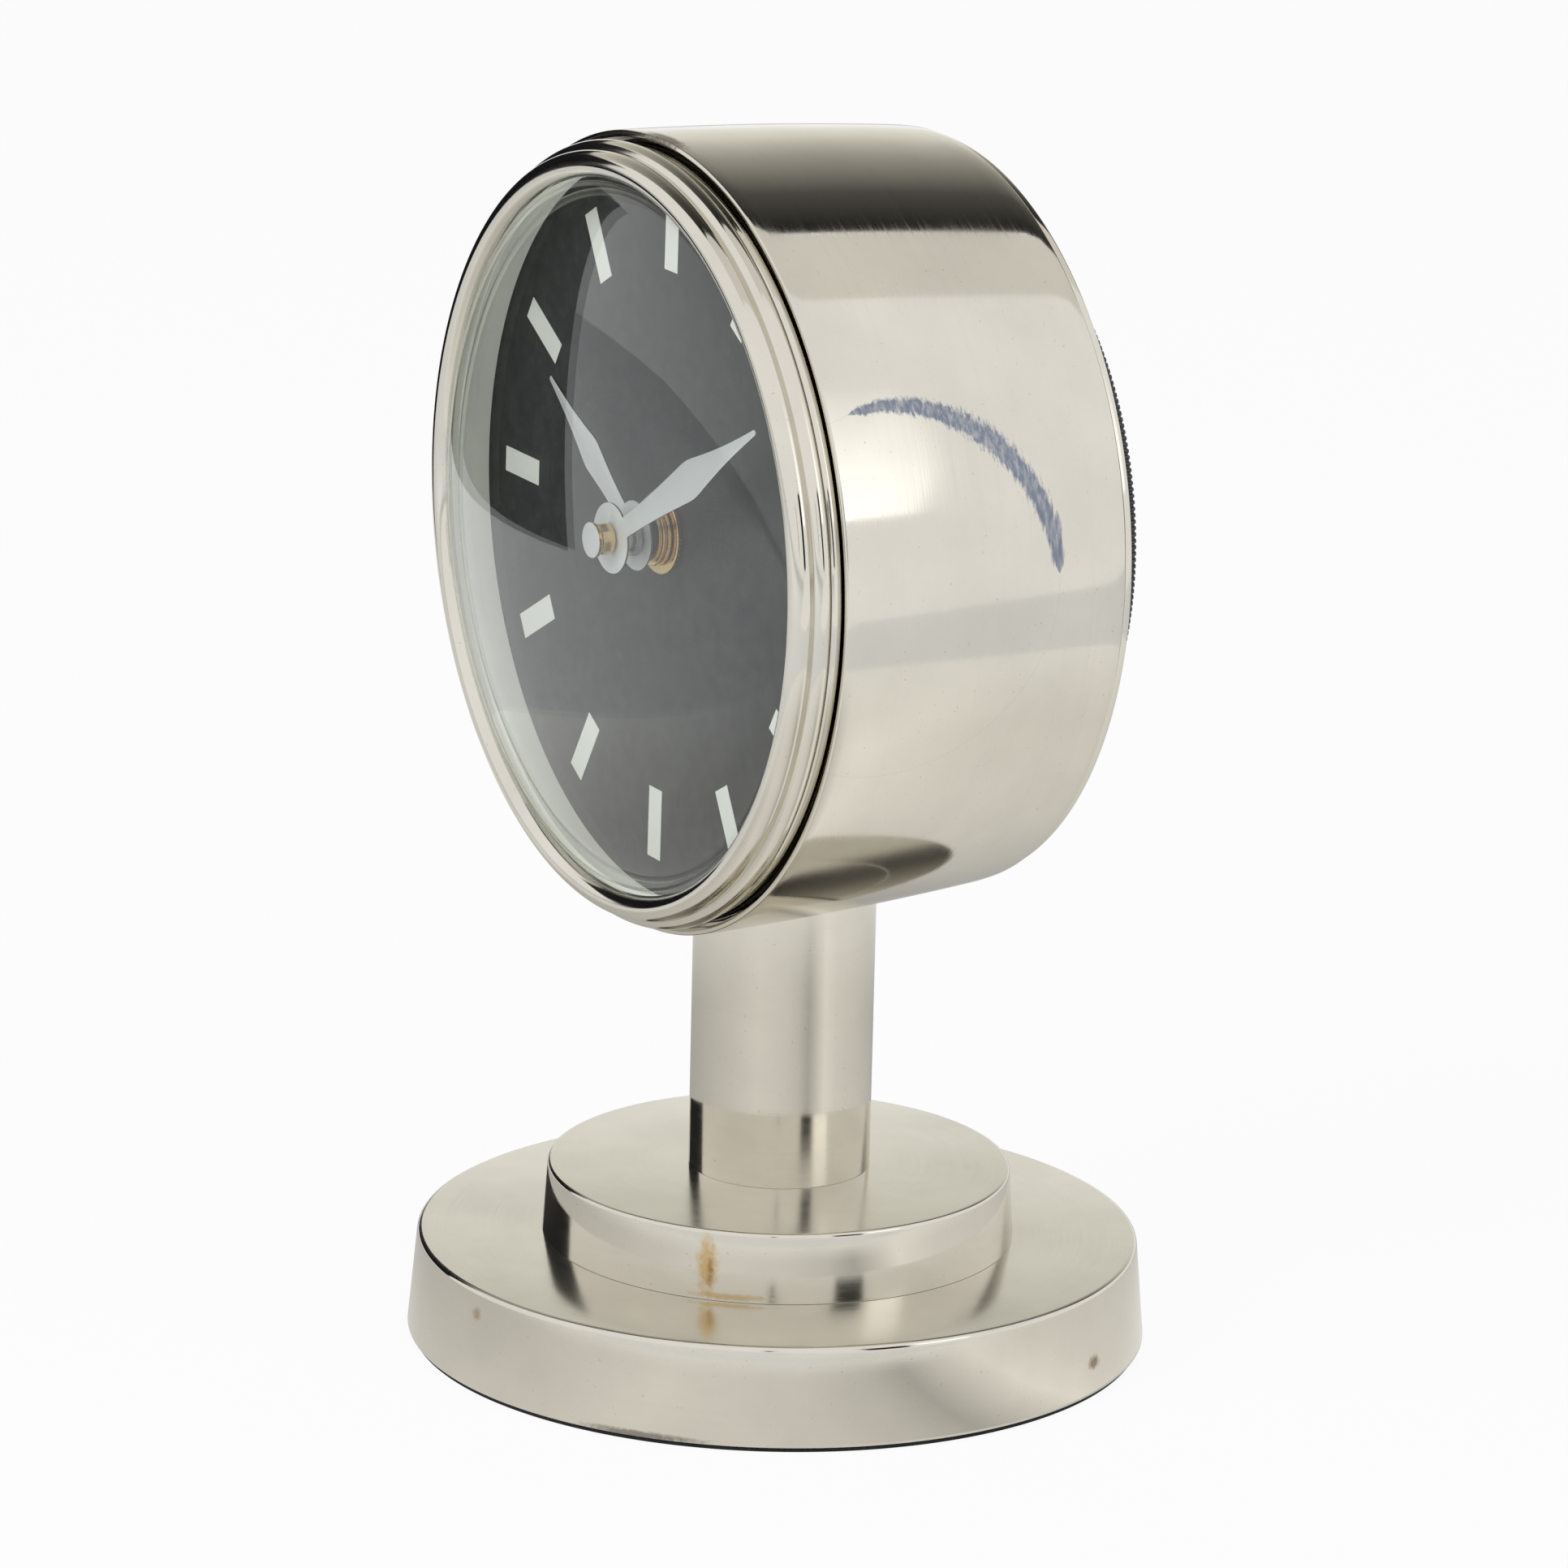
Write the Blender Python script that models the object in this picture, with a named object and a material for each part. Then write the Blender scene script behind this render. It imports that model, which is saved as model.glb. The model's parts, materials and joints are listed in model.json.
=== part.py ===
"""Table clock on a stepped pedestal: turned drum case, two-hand dial and a quartz movement.

Metres, +Z up, origin at the centre of the base's underside. The dial faces -Y.
Everything in the drum is modelled in the clock frame: an empty on the drum's axis, whose local
Z points forward out of the dial, local X to the dial's right and local Y up.
"""

import math

import bmesh
import bpy
from mathutils import Matrix, Vector

MM = 0.001
FIT_GAP = 0.3 * MM           # between two pieces that touch, and round a shaft in its hole

# Pedestal
PAD_THICK = 0.8 * MM
PAD_INSET = 0.7 * MM
PLATE_RADIUS = 71.0 * MM     # lower disc, at its bottom edge
PLATE_DRAFT = 1.6 * MM       # how much narrower its top edge is
PLATE_HEIGHT = 18.9 * MM
PLATE_WALL = 4.0 * MM
BOSS_RADIUS = 14.0 * MM
BOSS_DROP = 2.2 * MM
STEP_RADIUS = 45.3 * MM      # upper disc
STEP_DRAFT = 0.9 * MM
STEP_HEIGHT = 13.2 * MM
STEP_WALL = 3.5 * MM
EDGE_ROUND = 0.5 * MM
STEM_RADIUS = 17.4 * MM
STEM_WALL = 2.0 * MM
ROD_RADIUS = 3.0 * MM
NUT_HEIGHT = 5.0 * MM
NUT_FLATS = 10.0 * MM
WASHER_RADIUS = 7.5 * MM
WASHER_THICK = 1.5 * MM
ROD_STICK_OUT = 2.5 * MM     # rod past its nuts

# Drum case; forward distances are measured from the stem's axis along the clock axis
AXIS_HEIGHT = 160.0 * MM
DRUM_RADIUS = 75.0 * MM      # at the front edge
DRUM_TAPER = 3.1 * MM        # how much smaller the rear edge is
DRUM_CROWN = 0.6 * MM        # bulge of the side at mid depth
DRUM_FRONT = 32.1 * MM
DRUM_DEPTH = 60.7 * MM
DRUM_WALL = 1.4 * MM
DRUM_EDGE = 0.8 * MM
LEDGE_THICK = 1.2 * MM       # inner ring that the dial sits on
LEDGE_WIDTH = 7.5 * MM

# Dial, glass and bezel
DIAL_FRONT = 27.9 * MM
DIAL_THICK = 0.8 * MM
SPACER_DEPTH = 8.1 * MM
SPACER_FLARE = 3.0 * MM      # the ring opens from the glass towards the dial
GLASS_THICK = 1.5 * MM
GLASS_RISE = 10.0 * MM       # dome height over the rim
GLASS_RIM = 2.6 * MM         # flat width under the bezel's lip
PLUG_WALL = 1.6 * MM         # bezel skirt inside the drum
PLUG_DEPTH = 2.9 * MM
LIP_WIDTH = 1.9 * MM         # bezel lip in front of the glass
LIP_THICK = 0.6 * MM
BEAD_RADIUS = 2.5 * MM       # front bead of the bezel
BEAD_SINK = 0.9 * MM         # its centre behind the lip's front
BEAD_STEP = 2.8 * MM         # from the front bead's centre back to the rear bead's
REAR_BEAD_RADIUS = 2.0 * MM

# Back
BACK_THICK = 1.2 * MM
BACK_HOLE = 55.0 * MM        # radius of the service hole
BACK_PLUG = 3.6 * MM
COVER_RADIUS = 57.6 * MM
COVER_DEPTH = 9.7 * MM
COVER_WALL = 2.0 * MM
COVER_PLUG = 3.4 * MM
COVER_SLACK = 0.4 * MM
COVER_EDGE = 1.2 * MM

# Movement
RUBBER_RADIUS = 9.0 * MM
RUBBER_THICK = 0.7 * MM
CASE_SIZE = 56.0 * MM
CASE_DEPTH = 16.0 * MM
CASE_WALL = 1.5 * MM
CASE_SPLIT = 8.0 * MM        # depth of the front half
BUSH_RADIUS = 4.0 * MM
BUSH_LENGTH = 6.8 * MM
BRASS_WASHER_RADIUS = 7.8 * MM
BRASS_WASHER_THICK = 1.0 * MM
BUSH_NUT_FLATS = 11.0 * MM
BUSH_NUT_HEIGHT = 2.2 * MM
TUBE_RADIUS = 2.55 * MM      # hour tube
ARBOR_RADIUS = 1.5 * MM      # minute arbor
PIVOT_RADIUS = 0.4 * MM
TRAIN_MODULE = 0.2 * MM
CANNON_TEETH = 12
CANNON_MODULE = 0.35 * MM
MINUTE_TEETH = 36
MINUTE_PINION = 10
HOUR_TEETH = 40
CENTRE_TEETH = 64
PINION_TEETH = 8
THIRD_TEETH = 60
SECOND_TEETH = 60
WHEEL_THICK = 0.8 * MM
SECOND_ANGLE = math.radians(60.0)    # of the second wheel's axis seen from the third's
INTER_TEETH = 60
INTER_PINION = 12
INTER_ANGLE = math.radians(100.0)    # of the intermediate wheel's axis seen from the second's
ROTOR_PINION = 10
ROTOR_ANGLE = 0.0            # of the rotor's axis seen from the intermediate wheel's
ROTOR_RADIUS = 2.5 * MM
KNOB_RADIUS = 7.0 * MM
KNOB_HEIGHT = 5.0 * MM
KNOB_STEM = 1.0 * MM
CELL_RADIUS = 7.25 * MM
CELL_LENGTH = 49.5 * MM
CELL_NIPPLE = 1.0 * MM
CELL_DROP = 17.5 * MM        # below the arbor
CELL_PROUD = 0.35 * MM
CONTACT_THICK = 0.5 * MM

# Hands
HAND_THICK = 0.4 * MM
HUB_RADIUS = 6.6 * MM
HOUR_PLANE = 33.9 * MM       # forward distance of the hour hand's middle
HOUR_LENGTH = 41.4 * MM
HOUR_WIDEST = 21.0 * MM
HOUR_WIDTH = 7.2 * MM
HOUR_ANGLE = math.radians(304.5)     # clockwise from twelve
MINUTE_PLANE = 38.95 * MM
MINUTE_LENGTH = 61.5 * MM
MINUTE_WIDEST = 34.4 * MM
MINUTE_WIDTH = 7.5 * MM
MINUTE_ANGLE = math.radians(60.0)
HAND_ROOT = 3.0 * MM
HAND_TIP = 1.1 * MM
HOUR_BUSH_RADIUS = 3.6 * MM
HOUR_BUSH_HEIGHT = 1.4 * MM
MINUTE_BUSH_RADIUS = 3.0 * MM
MINUTE_BUSH_HEIGHT = 2.7 * MM
CAP_RADIUS = 3.4 * MM
CAP_HEIGHT = 1.0 * MM

ROUND = 48                   # sides of the large turned pieces
SMALL = 24                   # sides of the small ones


def clear_scene():
    for old in list(bpy.data.objects):
        bpy.data.objects.remove(old, do_unlink=True)


def material(name, colour, roughness, metallic=0.0, alpha=1.0):
    made = bpy.data.materials.new(name)
    made.use_nodes = True
    shader = made.node_tree.nodes["Principled BSDF"]
    shader.inputs["Base Color"].default_value = (*colour, 1.0)
    shader.inputs["Roughness"].default_value = roughness
    shader.inputs["Metallic"].default_value = metallic
    shader.inputs["Alpha"].default_value = alpha
    return made


def finish(name, mesh, look, parent=None, sharp=math.radians(35)):
    """Make the named object of a mesh, shade it smooth and give it its material."""
    mesh.materials.append(look)
    mesh.shade_smooth()
    mesh.set_sharp_from_angle(angle=sharp)
    made = bpy.data.objects.new(name, mesh)
    bpy.context.scene.collection.objects.link(made)
    made.parent = parent
    return made


def mesh_from(name, points, faces):
    mesh = bpy.data.meshes.new(name)
    mesh.from_pydata(points, [], faces)
    shape = bmesh.new()
    shape.from_mesh(mesh)
    bmesh.ops.recalc_face_normals(shape, faces=shape.faces)
    shape.to_mesh(mesh)
    shape.free()
    return mesh


def turned_mesh(name, profile, sides=ROUND):
    """Turn a profile of (radius, height) points about Z; points on the axis become poles."""
    points = []
    rings = []
    for radius, height in profile:
        count = 1 if radius < 1e-7 else sides
        rings.append(list(range(len(points), len(points) + count)))
        for step in range(count):
            turn = 2 * math.pi * step / sides
            points.append((radius * math.cos(turn), radius * math.sin(turn), height))
    faces = []
    for index, ring in enumerate(rings):
        below = rings[index - 1]
        if len(ring) == 1 and len(below) == 1:
            continue
        for step in range(sides):
            after = (step + 1) % sides
            face = [below[step % len(below)], below[after % len(below)],
                    ring[after % len(ring)], ring[step % len(ring)]]
            faces.append(list(dict.fromkeys(face)))
    return mesh_from(name, points, faces)


def fill_loops(loops):
    """Triangles that fill plane loops of points, taking inner loops as holes."""
    shape = bmesh.new()
    edges = []
    number = {}
    for loop in loops:
        ring = []
        for x, y, index in loop:
            vert = shape.verts.new((x * 1000, y * 1000, 0.0))
            number[vert] = index
            ring.append(vert)
        edges += [shape.edges.new((ring[step - 1], ring[step])) for step in range(len(ring))]
    bmesh.ops.triangle_fill(shape, use_beauty=True, use_dissolve=False, edges=edges)
    faces = [[number[vert] for vert in face.verts] for face in shape.faces]
    shape.free()
    return faces


def stack_mesh(name, layers):
    """Solid of flat layers (low, high, loops), listed upwards; a layer's inner loops are holes.

    A loop that two neighbouring layers share runs through; where loops differ, a flat face
    closes the step between them.
    """
    points = []
    rings = {}

    def ring(loop, height):
        key = (id(loop), round(height, 7))
        if key not in rings:
            rings[key] = list(range(len(points), len(points) + len(loop)))
            points.extend((x, y, height) for x, y in loop)
        return rings[key]

    faces = []
    for low, high, loops in layers:
        for loop in loops:
            below, above = ring(loop, low), ring(loop, high)
            for step in range(len(loop)):
                faces.append([below[step - 1], below[step], above[step], above[step - 1]])
    levels = [(layers[0][0], [], layers[0][2])]
    for lower, upper in zip(layers, layers[1:]):
        levels.append((lower[1], lower[2], upper[2]))
    levels.append((layers[-1][1], layers[-1][2], []))
    for height, under, over in levels:
        open_loops = [loop for loop in under if not any(loop is other for other in over)]
        open_loops += [loop for loop in over if not any(loop is other for other in under)]
        flat = []
        for loop in open_loops:
            flat.append([(*point, index) for point, index in zip(loop, ring(loop, height))])
        faces += fill_loops(flat)
    return mesh_from(name, points, faces)


def circle(radius, sides=SMALL, centre=(0.0, 0.0), phase=0.0):
    turns = [phase + 2 * math.pi * step / sides for step in range(sides)]
    return [(centre[0] + radius * math.cos(turn), centre[1] + radius * math.sin(turn))
            for turn in turns]


def rectangle(low_x, low_y, high_x, high_y):
    return [(low_x, low_y), (high_x, low_y), (high_x, high_y), (low_x, high_y)]


def hexagon(flats):
    return circle(flats / math.sqrt(3), 6)


def arc(centre, radius, start, end, steps):
    """Points (r, z) of an arc in degrees, both ends included."""
    turns = [math.radians(start + (end - start) * step / steps) for step in range(steps + 1)]
    return [(centre[0] + radius * math.cos(turn), centre[1] + radius * math.sin(turn))
            for turn in turns]


def gear(teeth, module, phase=0.0):
    """Outline of a small clock gear: straight-flanked teeth, slim enough to run with backlash."""
    pitch = teeth * module / 2
    half_root, half_tip = 0.27, 0.12          # half widths in tooth pitches
    outline = []
    for tooth in range(teeth):
        for shift, radius in ((-half_root, pitch - 1.15 * module), (-half_tip, pitch + 0.75 * module),
                              (half_tip, pitch + 0.75 * module), (half_root, pitch - 1.15 * module)):
            turn = phase + 2 * math.pi * (tooth + shift) / teeth
            outline.append((radius * math.cos(turn), radius * math.sin(turn)))
    return outline


def mesh_phase(driver_teeth, driver_phase, own_teeth, direction):
    """Phase that sets a gear's gap on the driver's tooth, seen along direction from the driver."""
    travel = (direction - driver_phase) * driver_teeth / (2 * math.pi)
    return direction + math.pi + 2 * math.pi / own_teeth * (travel + 0.5)


def moved(mesh, offset):
    mesh.transform(Matrix.Translation(Vector(offset)))
    return mesh


def cutter(name, mesh, parent=None):
    made = bpy.data.objects.new(name, mesh)
    bpy.context.scene.collection.objects.link(made)
    made.parent = parent
    made.hide_render = True
    made.display_type = "WIRE"
    return made


def cut(target, tool):
    cutting = target.modifiers.new("cut by " + tool.name, "BOOLEAN")
    cutting.operation = "DIFFERENCE"
    cutting.solver = "EXACT"
    cutting.object = tool


# Heights and forward distances that follow from the sizes above
PLATE_BOTTOM = PAD_THICK + FIT_GAP
PLATE_TOP = PLATE_BOTTOM + PLATE_HEIGHT
STEP_BOTTOM = PLATE_TOP + FIT_GAP
STEP_TOP = STEP_BOTTOM + STEP_HEIGHT
STEM_BOTTOM = STEP_TOP + FIT_GAP
BOSS_BOTTOM = PLATE_TOP - PLATE_WALL - BOSS_DROP
ROD_HOLE = ROD_RADIUS + FIT_GAP
DRUM_REAR = DRUM_FRONT - DRUM_DEPTH
DIAL_BACK = DIAL_FRONT - DIAL_THICK
LEDGE_FRONT = DIAL_BACK - FIT_GAP
SPACER_BACK = DIAL_FRONT + FIT_GAP
SPACER_FRONT = SPACER_BACK + SPACER_DEPTH
GLASS_BACK = SPACER_FRONT + FIT_GAP
GLASS_FRONT = GLASS_BACK + GLASS_THICK
LIP_BACK = GLASS_FRONT + FIT_GAP
LIP_FRONT = LIP_BACK + LIP_THICK
CASE_FRONT = DIAL_BACK - 2 * FIT_GAP - RUBBER_THICK
CASE_REAR = CASE_FRONT - CASE_DEPTH
INSIDE_FRONT = CASE_FRONT - CASE_WALL - FIT_GAP
INSIDE_REAR = CASE_REAR + CASE_WALL + FIT_GAP
STATOR_THICK = 0.8 * MM
STATOR_LOW = INSIDE_FRONT - 4.3 * MM
WASHER_BACK = DIAL_FRONT + FIT_GAP
WASHER_FRONT = WASHER_BACK + BRASS_WASHER_THICK
MINUTE_DISTANCE = CANNON_MODULE * (CANNON_TEETH + MINUTE_TEETH) / 2
THIRD_DISTANCE = TRAIN_MODULE * (CENTRE_TEETH + PINION_TEETH) / 2
SECOND_DISTANCE = TRAIN_MODULE * (THIRD_TEETH + PINION_TEETH) / 2
INTER_DISTANCE = TRAIN_MODULE * (SECOND_TEETH + INTER_PINION) / 2
ROTOR_DISTANCE = TRAIN_MODULE * (INTER_TEETH + ROTOR_PINION) / 2
HOUR_MODULE = 2 * MINUTE_DISTANCE / (MINUTE_PINION + HOUR_TEETH)


THIRD_PLACE = Vector((THIRD_DISTANCE, 0.0))
SECOND_PLACE = THIRD_PLACE + SECOND_DISTANCE * Vector((math.cos(SECOND_ANGLE), math.sin(SECOND_ANGLE)))
INTER_PLACE = SECOND_PLACE + INTER_DISTANCE * Vector((math.cos(INTER_ANGLE), math.sin(INTER_ANGLE)))
ROTOR_PLACE = INTER_PLACE + ROTOR_DISTANCE * Vector((math.cos(ROTOR_ANGLE), math.sin(ROTOR_ANGLE)))


def drum_radius(forward):
    """Outer radius of the drum's tapering, slightly crowned side."""
    share = (DRUM_FRONT - forward) / DRUM_DEPTH
    return DRUM_RADIUS - DRUM_TAPER * share + DRUM_CROWN * 4 * share * (1 - share)


def drum_side(offset, start, end, steps):
    """Points along the drum's side between two forward distances, offset outwards."""
    stops = [start + (end - start) * step / steps for step in range(steps + 1)]
    return [(drum_radius(stop) + offset, stop) for stop in stops]


PLUG_RADIUS = drum_radius(DRUM_FRONT - PLUG_DEPTH) - DRUM_WALL - FIT_GAP
PLUG_INNER = PLUG_RADIUS - PLUG_WALL
SPACER_OUTER = PLUG_INNER - FIT_GAP
SEAT_RADIUS = PLUG_INNER - 2.7 * MM        # bore that holds the glass
GLASS_RADIUS = SEAT_RADIUS - FIT_GAP
LIP_RADIUS = GLASS_RADIUS - LIP_WIDTH


def make_pedestal(looks, clock):
    pad = circle(PLATE_RADIUS - PAD_INSET, ROUND)
    finish("base_pad", stack_mesh("base_pad", [(0.0, PAD_THICK, [pad])]), looks["felt"])

    plate_top = PLATE_RADIUS - PLATE_DRAFT
    roof = PLATE_TOP - PLATE_WALL
    finish("base_plate", turned_mesh("base_plate", [
        (PLATE_RADIUS, PLATE_BOTTOM), (plate_top + EDGE_ROUND * 0.2, PLATE_TOP - EDGE_ROUND),
        (plate_top - EDGE_ROUND, PLATE_TOP), (ROD_HOLE, PLATE_TOP), (ROD_HOLE, BOSS_BOTTOM),
        (BOSS_RADIUS, BOSS_BOTTOM), (BOSS_RADIUS, roof), (plate_top - PLATE_WALL, roof),
        (PLATE_RADIUS - PLATE_WALL, PLATE_BOTTOM)]), looks["nickel"])

    step_top = STEP_RADIUS - STEP_DRAFT
    step_roof = STEP_TOP - STEP_WALL
    finish("base_step", turned_mesh("base_step", [
        (STEP_RADIUS, STEP_BOTTOM), (step_top + EDGE_ROUND * 0.2, STEP_TOP - EDGE_ROUND),
        (step_top - EDGE_ROUND, STEP_TOP), (ROD_HOLE, STEP_TOP), (ROD_HOLE, step_roof),
        (step_top - STEP_WALL, step_roof), (STEP_RADIUS - STEP_WALL, STEP_BOTTOM)]), looks["nickel"])

    stem_top = AXIS_HEIGHT - math.sqrt(drum_radius(DRUM_FRONT) ** 2 - STEM_RADIUS ** 2) + 2 * MM
    stem = finish("stem_tube", turned_mesh("stem_tube", [
        (STEM_RADIUS, STEM_BOTTOM), (STEM_RADIUS, stem_top),
        (STEM_RADIUS - STEM_WALL, stem_top), (STEM_RADIUS - STEM_WALL, STEM_BOTTOM)]), looks["nickel"])
    saddle = drum_side(FIT_GAP, DRUM_FRONT, DRUM_REAR, 8)
    hollow = [(0.0, DRUM_FRONT)] + saddle + [(0.0, DRUM_REAR)]
    cut(stem, cutter("saddle_cutter", turned_mesh("saddle_cutter", hollow, 2 * ROUND), clock))

    nut_top = BOSS_BOTTOM - 2 * FIT_GAP - WASHER_THICK
    nut_bottom = nut_top - NUT_HEIGHT
    # The washer's rim bears on the curved wall where the taper is narrowest under it.
    wall_inside = AXIS_HEIGHT - drum_radius(-WASHER_RADIUS) + DRUM_WALL
    washer_low = wall_inside + WASHER_RADIUS * math.tan(math.pi / ROUND) + FIT_GAP
    top_nut_low = washer_low + WASHER_THICK + FIT_GAP
    rod_top = top_nut_low + NUT_HEIGHT + ROD_STICK_OUT
    rod = circle(ROD_RADIUS)
    finish("tie_rod", stack_mesh("tie_rod", [(nut_bottom - ROD_STICK_OUT, rod_top, [rod])]),
           looks["steel"])
    for name, low in (("base_washer", nut_top + FIT_GAP), ("drum_washer", washer_low)):
        loops = [circle(WASHER_RADIUS), circle(ROD_HOLE)]
        finish(name, stack_mesh(name, [(low, low + WASHER_THICK, loops)]), looks["steel"])
    for name, low in (("base_nut", nut_bottom), ("drum_nut", top_nut_low)):
        loops = [hexagon(NUT_FLATS), circle(ROD_HOLE)]
        finish(name, stack_mesh(name, [(low, low + NUT_HEIGHT, loops)]), looks["steel"])


def make_case(looks, clock):
    front_edge = [(drum_radius(DRUM_FRONT) - DRUM_WALL, DRUM_FRONT - DRUM_EDGE / 2),
                  (drum_radius(DRUM_FRONT) - DRUM_EDGE, DRUM_FRONT)]
    outside = drum_side(0.0, DRUM_FRONT - DRUM_EDGE, DRUM_REAR + DRUM_EDGE, 6)
    rear_edge = [(drum_radius(DRUM_REAR) - DRUM_EDGE, DRUM_REAR),
                 (drum_radius(DRUM_REAR) - DRUM_WALL, DRUM_REAR + DRUM_EDGE / 2)]
    ledge_back = LEDGE_FRONT - LEDGE_THICK
    inside = drum_side(-DRUM_WALL, 0.0, ledge_back, 2)
    ledge_inner = drum_radius(LEDGE_FRONT) - DRUM_WALL - LEDGE_WIDTH
    ledge = [(ledge_inner, ledge_back), (ledge_inner, LEDGE_FRONT),
             (drum_radius(LEDGE_FRONT) - DRUM_WALL, LEDGE_FRONT)]
    drum = finish("case_drum", turned_mesh("case_drum", front_edge + outside + rear_edge + inside + ledge),
                  looks["nickel"], clock)
    # The rod's hole goes through the drum's wall right over the stem.
    drill = stack_mesh("rod_drill", [(-DRUM_RADIUS - 5 * MM, -DRUM_RADIUS + 12 * MM, [circle(ROD_HOLE)])])
    drill.transform(Matrix.Rotation(math.radians(-90), 4, "X"))
    cut(drum, cutter("rod_drill", drill, clock))

    dial_radius = drum_radius(LEDGE_FRONT) - DRUM_WALL - FIT_GAP - 0.1 * MM
    dial_loops = [circle(dial_radius, ROUND), circle(BUSH_RADIUS + FIT_GAP)]
    finish("dial_plate", stack_mesh("dial_plate", [(DIAL_BACK, DIAL_FRONT, dial_loops)]),
           looks["dial"], clock)

    narrow = GLASS_RADIUS - LIP_WIDTH
    finish("spacer_ring", turned_mesh("spacer_ring", [
        (SPACER_OUTER, SPACER_BACK), (SPACER_OUTER, SPACER_FRONT), (narrow, SPACER_FRONT),
        (narrow + SPACER_FLARE, SPACER_BACK)]), looks["cream"], clock)

    def dome(radius, base):
        """Points of an elliptic dome from its foot to the axis, over a base plane."""
        turns = [math.pi / 2 * step / 7 for step in range(8)]
        return [(radius * math.cos(turn) if turn < 1.57 else 0.0, base + GLASS_RISE * math.sin(turn))
                for turn in turns]

    outer = dome(GLASS_RADIUS - GLASS_RIM, GLASS_FRONT)
    inner = dome(GLASS_RADIUS - GLASS_RIM - GLASS_THICK, GLASS_BACK)
    finish("glass_lens", turned_mesh("glass_lens", [
        (GLASS_RADIUS, GLASS_BACK), (GLASS_RADIUS, GLASS_FRONT), *outer, *reversed(inner)]),
        looks["glass"], clock, math.radians(60))

    bead_centre = (LIP_RADIUS + BEAD_RADIUS, LIP_FRONT - BEAD_SINK)
    rear_bead = (PLUG_RADIUS - 0.9 * REAR_BEAD_RADIUS, bead_centre[1] - BEAD_STEP)
    lip_turn = 180 - math.degrees(math.asin(BEAD_SINK / BEAD_RADIUS))
    finish("bezel_ring", turned_mesh("bezel_ring", [
        (LIP_RADIUS, LIP_BACK), *arc(bead_centre, BEAD_RADIUS, lip_turn, -25, 8),
        *arc(rear_bead, REAR_BEAD_RADIUS, 60, -60, 5),
        (PLUG_RADIUS, DRUM_FRONT + 1.1 * MM), (PLUG_RADIUS, DRUM_FRONT - PLUG_DEPTH),
        (PLUG_INNER, DRUM_FRONT - PLUG_DEPTH), (PLUG_INNER, GLASS_BACK),
        (SEAT_RADIUS, GLASS_BACK), (SEAT_RADIUS, LIP_BACK)]), looks["nickel"], clock)

    back_front = DRUM_REAR - FIT_GAP
    back_rear = back_front - BACK_THICK
    back_radius = drum_radius(DRUM_REAR) - 0.6 * MM
    plug = drum_radius(DRUM_REAR) - DRUM_WALL - FIT_GAP
    finish("back_plate", turned_mesh("back_plate", [
        (back_radius, back_rear), (back_radius, back_front), (plug, back_front),
        (plug, back_front + BACK_PLUG), (plug - BACK_THICK, back_front + BACK_PLUG),
        (plug - BACK_THICK, back_front), (BACK_HOLE, back_front), (BACK_HOLE, back_rear)]),
        looks["nickel"], clock)

    cover_front = back_rear - FIT_GAP
    cover_rear = cover_front - COVER_DEPTH
    collar = BACK_HOLE - COVER_SLACK
    finish("rear_cover", turned_mesh("rear_cover", [
        (0.0, cover_rear), (COVER_RADIUS - COVER_EDGE, cover_rear),
        (COVER_RADIUS, cover_rear + COVER_EDGE), (COVER_RADIUS, cover_front), (collar, cover_front),
        (collar, cover_front + COVER_PLUG), (collar - COVER_WALL, cover_front + COVER_PLUG),
        (collar - COVER_WALL, cover_rear + COVER_WALL), (0.0, cover_rear + COVER_WALL)]),
        looks["black"], clock)


def make_movement_case(looks, clock):
    half = CASE_SIZE / 2
    outer = rectangle(-half, -half, half, half)
    window = rectangle(-half + CASE_WALL, -half + CASE_WALL, half - CASE_WALL, half - CASE_WALL)
    bore = circle(TUBE_RADIUS + FIT_GAP)
    bush = circle(BUSH_RADIUS)
    split = CASE_FRONT - CASE_SPLIT
    finish("movement_front", stack_mesh("movement_front", [
        (split, CASE_FRONT - CASE_WALL, [outer, window]),
        (CASE_FRONT - CASE_WALL, CASE_FRONT, [outer, bore]),
        (CASE_FRONT, CASE_FRONT + BUSH_LENGTH, [bush, bore])]), looks["black"], clock)

    bay = rectangle(-half + CASE_WALL + 0.4 * MM, -CELL_DROP - CELL_RADIUS - 1.0 * MM,
                    half - CASE_WALL - 0.4 * MM, -CELL_DROP + CELL_RADIUS + 1.0 * MM)
    knob_hole = circle(KNOB_STEM + FIT_GAP, 16, (0.0, MINUTE_DISTANCE))
    finish("movement_back", stack_mesh("movement_back", [
        (CASE_REAR, CASE_REAR + CASE_WALL, [outer, bay, knob_hole]),
        (CASE_REAR + CASE_WALL, split - FIT_GAP, [outer, window])]), looks["black"], clock)

    rubber = [circle(RUBBER_RADIUS), circle(BUSH_RADIUS + FIT_GAP)]
    finish("rubber_washer", stack_mesh("rubber_washer", [
        (CASE_FRONT + FIT_GAP, CASE_FRONT + FIT_GAP + RUBBER_THICK, rubber)]), looks["rubber"], clock)
    brass = [circle(BRASS_WASHER_RADIUS), circle(BUSH_RADIUS + FIT_GAP)]
    finish("brass_washer", stack_mesh("brass_washer", [(WASHER_BACK, WASHER_FRONT, brass)]),
           looks["brass"], clock)
    nut = [hexagon(BUSH_NUT_FLATS), circle(BUSH_RADIUS + FIT_GAP)]
    finish("bushing_nut", stack_mesh("bushing_nut", [
        (WASHER_FRONT + FIT_GAP, WASHER_FRONT + FIT_GAP + BUSH_NUT_HEIGHT, nut)]), looks["brass"], clock)


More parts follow.
